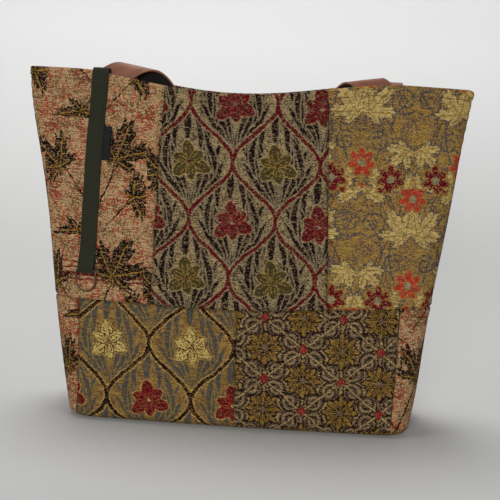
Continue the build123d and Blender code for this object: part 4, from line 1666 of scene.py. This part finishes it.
class TOTE_OT_key_leash(bpy.types.Operator):
    """Hang the key leash with its blank label and finish its ring"""

    bl_idname = "tote.key_leash"
    bl_label = "Key leash"

    def execute(self, context):
        plain = context.scene.tote_plain
        s = context.scene.tote_sizes
        plane = LeashPlane(BagCloth(s))
        tape = ribbon("key_leash_tape", self.route(s, plane), s.leash_width, s.leash, edge_line=LEASH_EDGE)
        tape.data.materials.append(plain_cloth("Leash tape", plain.leash, across=0.9, up=0.7, tone_and_painted_shade=0.7))
        hand_over(tape, "bag", "leash_tape", "key_leash")
        label = self.label(s, plane)
        satin = plain_cloth("Label satin", plain.label, across=0.35, up=0.35, roughness=0.5)
        label.data.materials.append(satin)
        hand_over(label, "bag", "label_cloth", "label_tab")
        thread = self.stitches(s, plane)
        thread.data.materials.append(thread_finish("Leash thread", plain.lining))
        hand_over(thread, "bag", "leash_tape")
        ring = frame["nodes"]["leash_ring"]
        ring.data.materials.clear()
        ring.data.materials.append(ring_bronze("Ring bronze", plain.wire, plain.wire_worn))
        return {"FINISHED"}

    def route(self, s, plane):
        """The tape's middle line: from inside the hem, over the rim, down the cloth and round the ring."""
        half = s.leash / 2
        bar_height = plane.rim - LEASH_DROP
        bar_radius = RING_WIRE / 2 + RING_GAP
        bar = frame["record"]["behaviour"]["joints"][0]["pos_m"]
        bar_out = (Vector(bar) - plane.origin).dot(plane.out)
        hem_front = plane.cloth_out(plane.rim) + s.hem_proud + LEASH_GAP
        hem_back = plane.cloth_out(plane.rim) - s.cloth - LAYER_GAP
        foot = plane.cloth_out(plane.rim - LEASH_TAB) - s.cloth - LAYER_GAP
        crest, crest_radius = (hem_front + hem_back) / 2, (hem_front - hem_back) / 2 + half
        path = [(foot - half, plane.rim - LEASH_TAB)]
        for turn in np.linspace(math.pi, 0, CREST_TURNS):
            path.append((crest + crest_radius * math.cos(turn), plane.rim + crest_radius * math.sin(turn)))
        below = plane.rim - s.hem_depth - s.leash
        path.append((plane.cloth_out(below) + s.hem_proud + LEASH_GAP + half, below))
        for share in np.linspace(*ON_CLOTH):
            z = plane.rim - LEASH_DROP * share
            path.append((plane.cloth_out(z) + LEASH_GAP + half, z))
        fold = bar_height + LEASH_FOLD
        fold_out = plane.cloth_out(fold) + LEASH_GAP
        path.append((fold_out + s.leash + half, fold))
        radius = bar_radius + half
        for turn in np.linspace(0, -math.pi, BAR_TURNS):
            path.append((bar_out + radius * math.cos(turn), bar_height + radius * math.sin(turn)))
        path.append((fold_out + half, fold))
        keys = [(*plane.place(out, z), *plane.across) for out, z in path]
        return smooth_line(keys, LEASH_STEP)

    def label(self, s, plane):
        """A folded blank tab caught under the tape's right edge, curling a little towards its free edge."""
        edge = s.leash_width / 2
        across = np.linspace(edge - TAB_SEAT, edge + TAB_REACH, TAB_COLUMNS)
        top = plane.rim - TAB_BELOW_RIM
        heights = np.linspace(top - TAB_LENGTH, top, TAB_ROWS)
        free = np.clip((across - edge) / TAB_REACH, 0, 1)
        out = np.array([plane.cloth_out(float(z)) for z in heights]) + LEASH_GAP + s.leash / 2
        wave = TAB_WAVE * np.sin(heights / TAB_WAVE_RUN)[:, None] * free ** 2
        lean = (TAB_CURL * free ** 2)[None] + wave - (TAB_TILT * free)[None]
        points = (
            np.array(plane.origin)
            + np.array(plane.across) * across[None, :, None]
            + np.array(plane.out) * (out[:, None] + lean)[..., None]
            + UP * heights[:, None, None]
        )
        piece = woven_grid("label_tab_cloth", points, paired(across[None], heights[:, None]))
        finish_with(piece, "SOLIDIFY", thickness=TAB_CLOTH, offset=0.0)
        return piece

    def stitches(self, s, plane):
        """Two rows of stitches across the tape: one at the hem and one above the ring."""
        reach = s.leash_width / 2 - LEASH_EDGE
        places = []
        for drop in LEASH_STITCH_DROPS:
            z = plane.rim - drop
            extra = s.hem_proud if drop < s.hem_depth else s.leash * DOUBLED_SHARE
            out = plane.cloth_out(z) + LEASH_GAP + s.leash + extra
            steps = np.linspace(-reach, reach, LEASH_STITCHES)
            places += [plane.place(out, z) + plane.across * step for step in steps]
        along, facing = (np.tile(way, (len(places), 1)) for way in (plane.across, plane.out))
        return copies_along("leash_stitches", stitch_model(*LEASH_STITCH), np.array(places), along, facing)


class TOTE_OT_topstitch(bpy.types.Operator):
    """Sew the row of stitches below the rim"""

    bl_idname = "tote.topstitch"
    bl_label = "Rim stitches"

    PITCH = 3.4 * MM
    STITCH = 2.7 * MM
    THREAD = 0.62 * MM
    THREAD_SHOWN = 0.3

    def execute(self, context):
        s = context.scene.tote_sizes
        cloth = BagCloth(s)
        places, facing = [], []
        count = round(cloth.girth_at(s.rim_height) / self.PITCH)
        share = (np.arange(count) + 0.5) / count
        for side in (FRONT, BACK):
            x = cloth.at(share, s.rim_height, side)[0][..., 0]
            z = cloth.rim(x) - s.stitch_drop
            points, normals = cloth.at(share, z, side)
            sunk = hem_pull(s, s.stitch_drop) + self.THREAD_SHOWN * self.THREAD
            lift = cloth.relief(points, side) + sunk
            points = points + normals * lift[:, None]
            places.append(points)
            facing.append(normals)
        along = np.concatenate([np.gradient(row, axis=0) for row in places])
        model = stitch_model(self.STITCH, self.THREAD)
        piece = copies_along("rim_stitches", model, np.concatenate(places), along, np.concatenate(facing))
        piece.data.materials.append(thread_finish("Rim thread", context.scene.tote_plain.thread))
        hand_over(piece, "bag", "lining_black")
        return {"FINISHED"}


# Stage


class TOTE_OT_stage(bpy.types.Operator):
    """Set up the pale floor, the soft lamps and the camera"""

    bl_idname = "tote.stage"
    bl_label = "Stage"

    FLOOR_FRONT = -3.0
    FLOOR_BACK = 0.75
    SWEEP_RADIUS = 0.5
    SWEEP_TOP = 2.6
    HALF_WIDTH = 3.2
    FLOOR_GAP = 0.4 * MM
    SWEEP_TURNS = 17
    # Where the backdrop's painted glow starts to show it paler, and over what height
    GLOW_START = 0.03
    GLOW_REACH = 0.4
    LAMP_AIM = Vector((0, 0, 0.17))
    SENSOR = 36.0
    NEAREST = 0.01

    def execute(self, context):
        stage = context.scene.tote_stage
        self.sweep(stage)
        self.lamps(context, stage)
        self.camera(context, stage)
        context.scene.view_settings.view_transform = "Standard"
        return {"FINISHED"}

    def sweep(self, stage):
        """A floor that turns up into a backdrop, with painted light: its colour pales towards the back and up
        the sweep, and it glows for the camera towards its top.
        """
        turn = np.linspace(0, math.pi / 2, self.SWEEP_TURNS)
        wall = self.FLOOR_BACK + self.SWEEP_RADIUS
        y = np.r_[self.FLOOR_FRONT, self.FLOOR_BACK + self.SWEEP_RADIUS * np.sin(turn), wall]
        z = np.r_[0, self.SWEEP_RADIUS * (1 - np.cos(turn)), self.SWEEP_TOP] - self.FLOOR_GAP
        x = np.linspace(-self.HALF_WIDTH, self.HALF_WIDTH, 3)
        points = paired(x[None], y[:, None], z[:, None])
        floor = woven_grid("floor", points, points[..., :2])
        paper = Finish("Pale floor", "Object")
        _, depth, height = paper.parts()
        # Painted fall-off of the light: the floor colour blends into the paler backdrop colour towards the
        # back and up
        share = (depth * 0.5 + height * 0.6 - 0.05).held()
        # Painted light: emission that only camera, glossy and transmission rays see, growing up the backdrop
        painted_glow = ((height - self.GLOW_START) / self.GLOW_REACH).held() * stage.painted_glow
        floor.data.materials.append(paper.surface({
            "Base Color": paper.mixed(share, stage.floor, stage.backdrop),
            "Roughness": 0.8,
            "Emission Color": (1, 1, 1, 1),
            "Emission Strength": painted_glow * self.seen(paper.tree),
        }))

    def seen(self, tree):
        """1 on the rays that show a surface and 0 on those that light it."""
        rays = tree.nodes.new("ShaderNodeLightPath").outputs
        kinds = ("Camera", "Glossy", "Transmission")
        camera, glossy, through = (Knot(tree, rays[f"Is {kind} Ray"]) for kind in kinds)
        return camera.either(glossy).either(through)

    def lamps(self, context, stage):
        world = bpy.data.worlds.new("Studio")
        context.scene.world = world
        world.use_nodes = True
        tree = world.node_tree
        sky = tree.nodes["Background"].inputs
        sky["Color"].default_value = (1, 1, 1, 1)
        feed(tree, sky["Strength"], self.seen(tree) * (stage.pale - stage.sky) + stage.sky)
        lamps = (
            ("Key", (-0.2, 0.34, 2.0), 1.0, stage.key),
            ("Fill", (-0.4, -3.4, 0.9), 1.4, stage.fill),
        )
        for name, place, size, power in lamps:
            lamp = bpy.data.lights.new(name, "AREA")
            lamp.shape = "DISK"
            lamp.size = size
            lamp.energy = power
            piece = bpy.data.objects.new(name, lamp)
            context.scene.collection.objects.link(piece)
            piece.location = place
            piece.rotation_euler = (self.LAMP_AIM - Vector(place)).to_track_quat("-Z", "Y").to_euler()

    def camera(self, context, stage):
        lens = bpy.data.cameras.new("Camera")
        lens.sensor_width = self.SENSOR
        lens.lens = stage.focal_pixels / PHOTO_PIXELS * self.SENSOR
        lens.clip_start = self.NEAREST
        eye = bpy.data.objects.new("Camera", lens)
        context.scene.collection.objects.link(eye)
        turn = Matrix.Rotation(-stage.yaw, 4, "Z") @ Matrix.Rotation(math.pi / 2 - stage.pitch, 4, "X")
        eye.matrix_world = Matrix.Translation(stage.eye) @ turn @ Matrix.Rotation(stage.roll, 4, "Z")
        context.scene.camera = eye


class TOTE_PT_panel(bpy.types.Panel):
    """Lists the tote's pieces"""

    bl_label = "Patchwork tote"
    bl_idname = "TOTE_PT_panel"
    bl_space_type = "VIEW_3D"
    bl_region_type = "UI"
    bl_category = "Tote"

    def draw(self, context):
        for operator in PIECES:
            self.layout.operator(operator.bl_idname)


PIECES = (
    TOTE_OT_stage, TOTE_OT_patches, TOTE_OT_lining, TOTE_OT_handles, TOTE_OT_key_leash, TOTE_OT_topstitch,
)
SETTINGS = {
    "tote_sizes": ToteSizes,
    "tote_stage": StageSettings,
    "tote_ivory": LatticeIvory,
    "tote_ochre": LatticeOchre,
    "tote_gold": GardenGold,
    "tote_coral": LeafyCoral,
    "tote_rosette": RosetteDyes,
    "tote_plain": PlainDyes,
}
CLASSES = (*SETTINGS.values(), *PIECES, TOTE_PT_panel)


def register():
    for kind in CLASSES:
        bpy.utils.register_class(kind)
    for name, kind in SETTINGS.items():
        setattr(bpy.types.Scene, name, PointerProperty(type=kind))


def unregister():
    for name in SETTINGS:
        delattr(bpy.types.Scene, name)
    for kind in reversed(CLASSES):
        bpy.utils.unregister_class(kind)


def main():
    register()
    bpy.ops.tote.stage()
    bpy.ops.tote.patches()
    bpy.ops.tote.lining()
    bpy.ops.tote.handles()
    bpy.ops.tote.key_leash()
    bpy.ops.tote.topstitch()


if __name__ == "__main__":
    main()
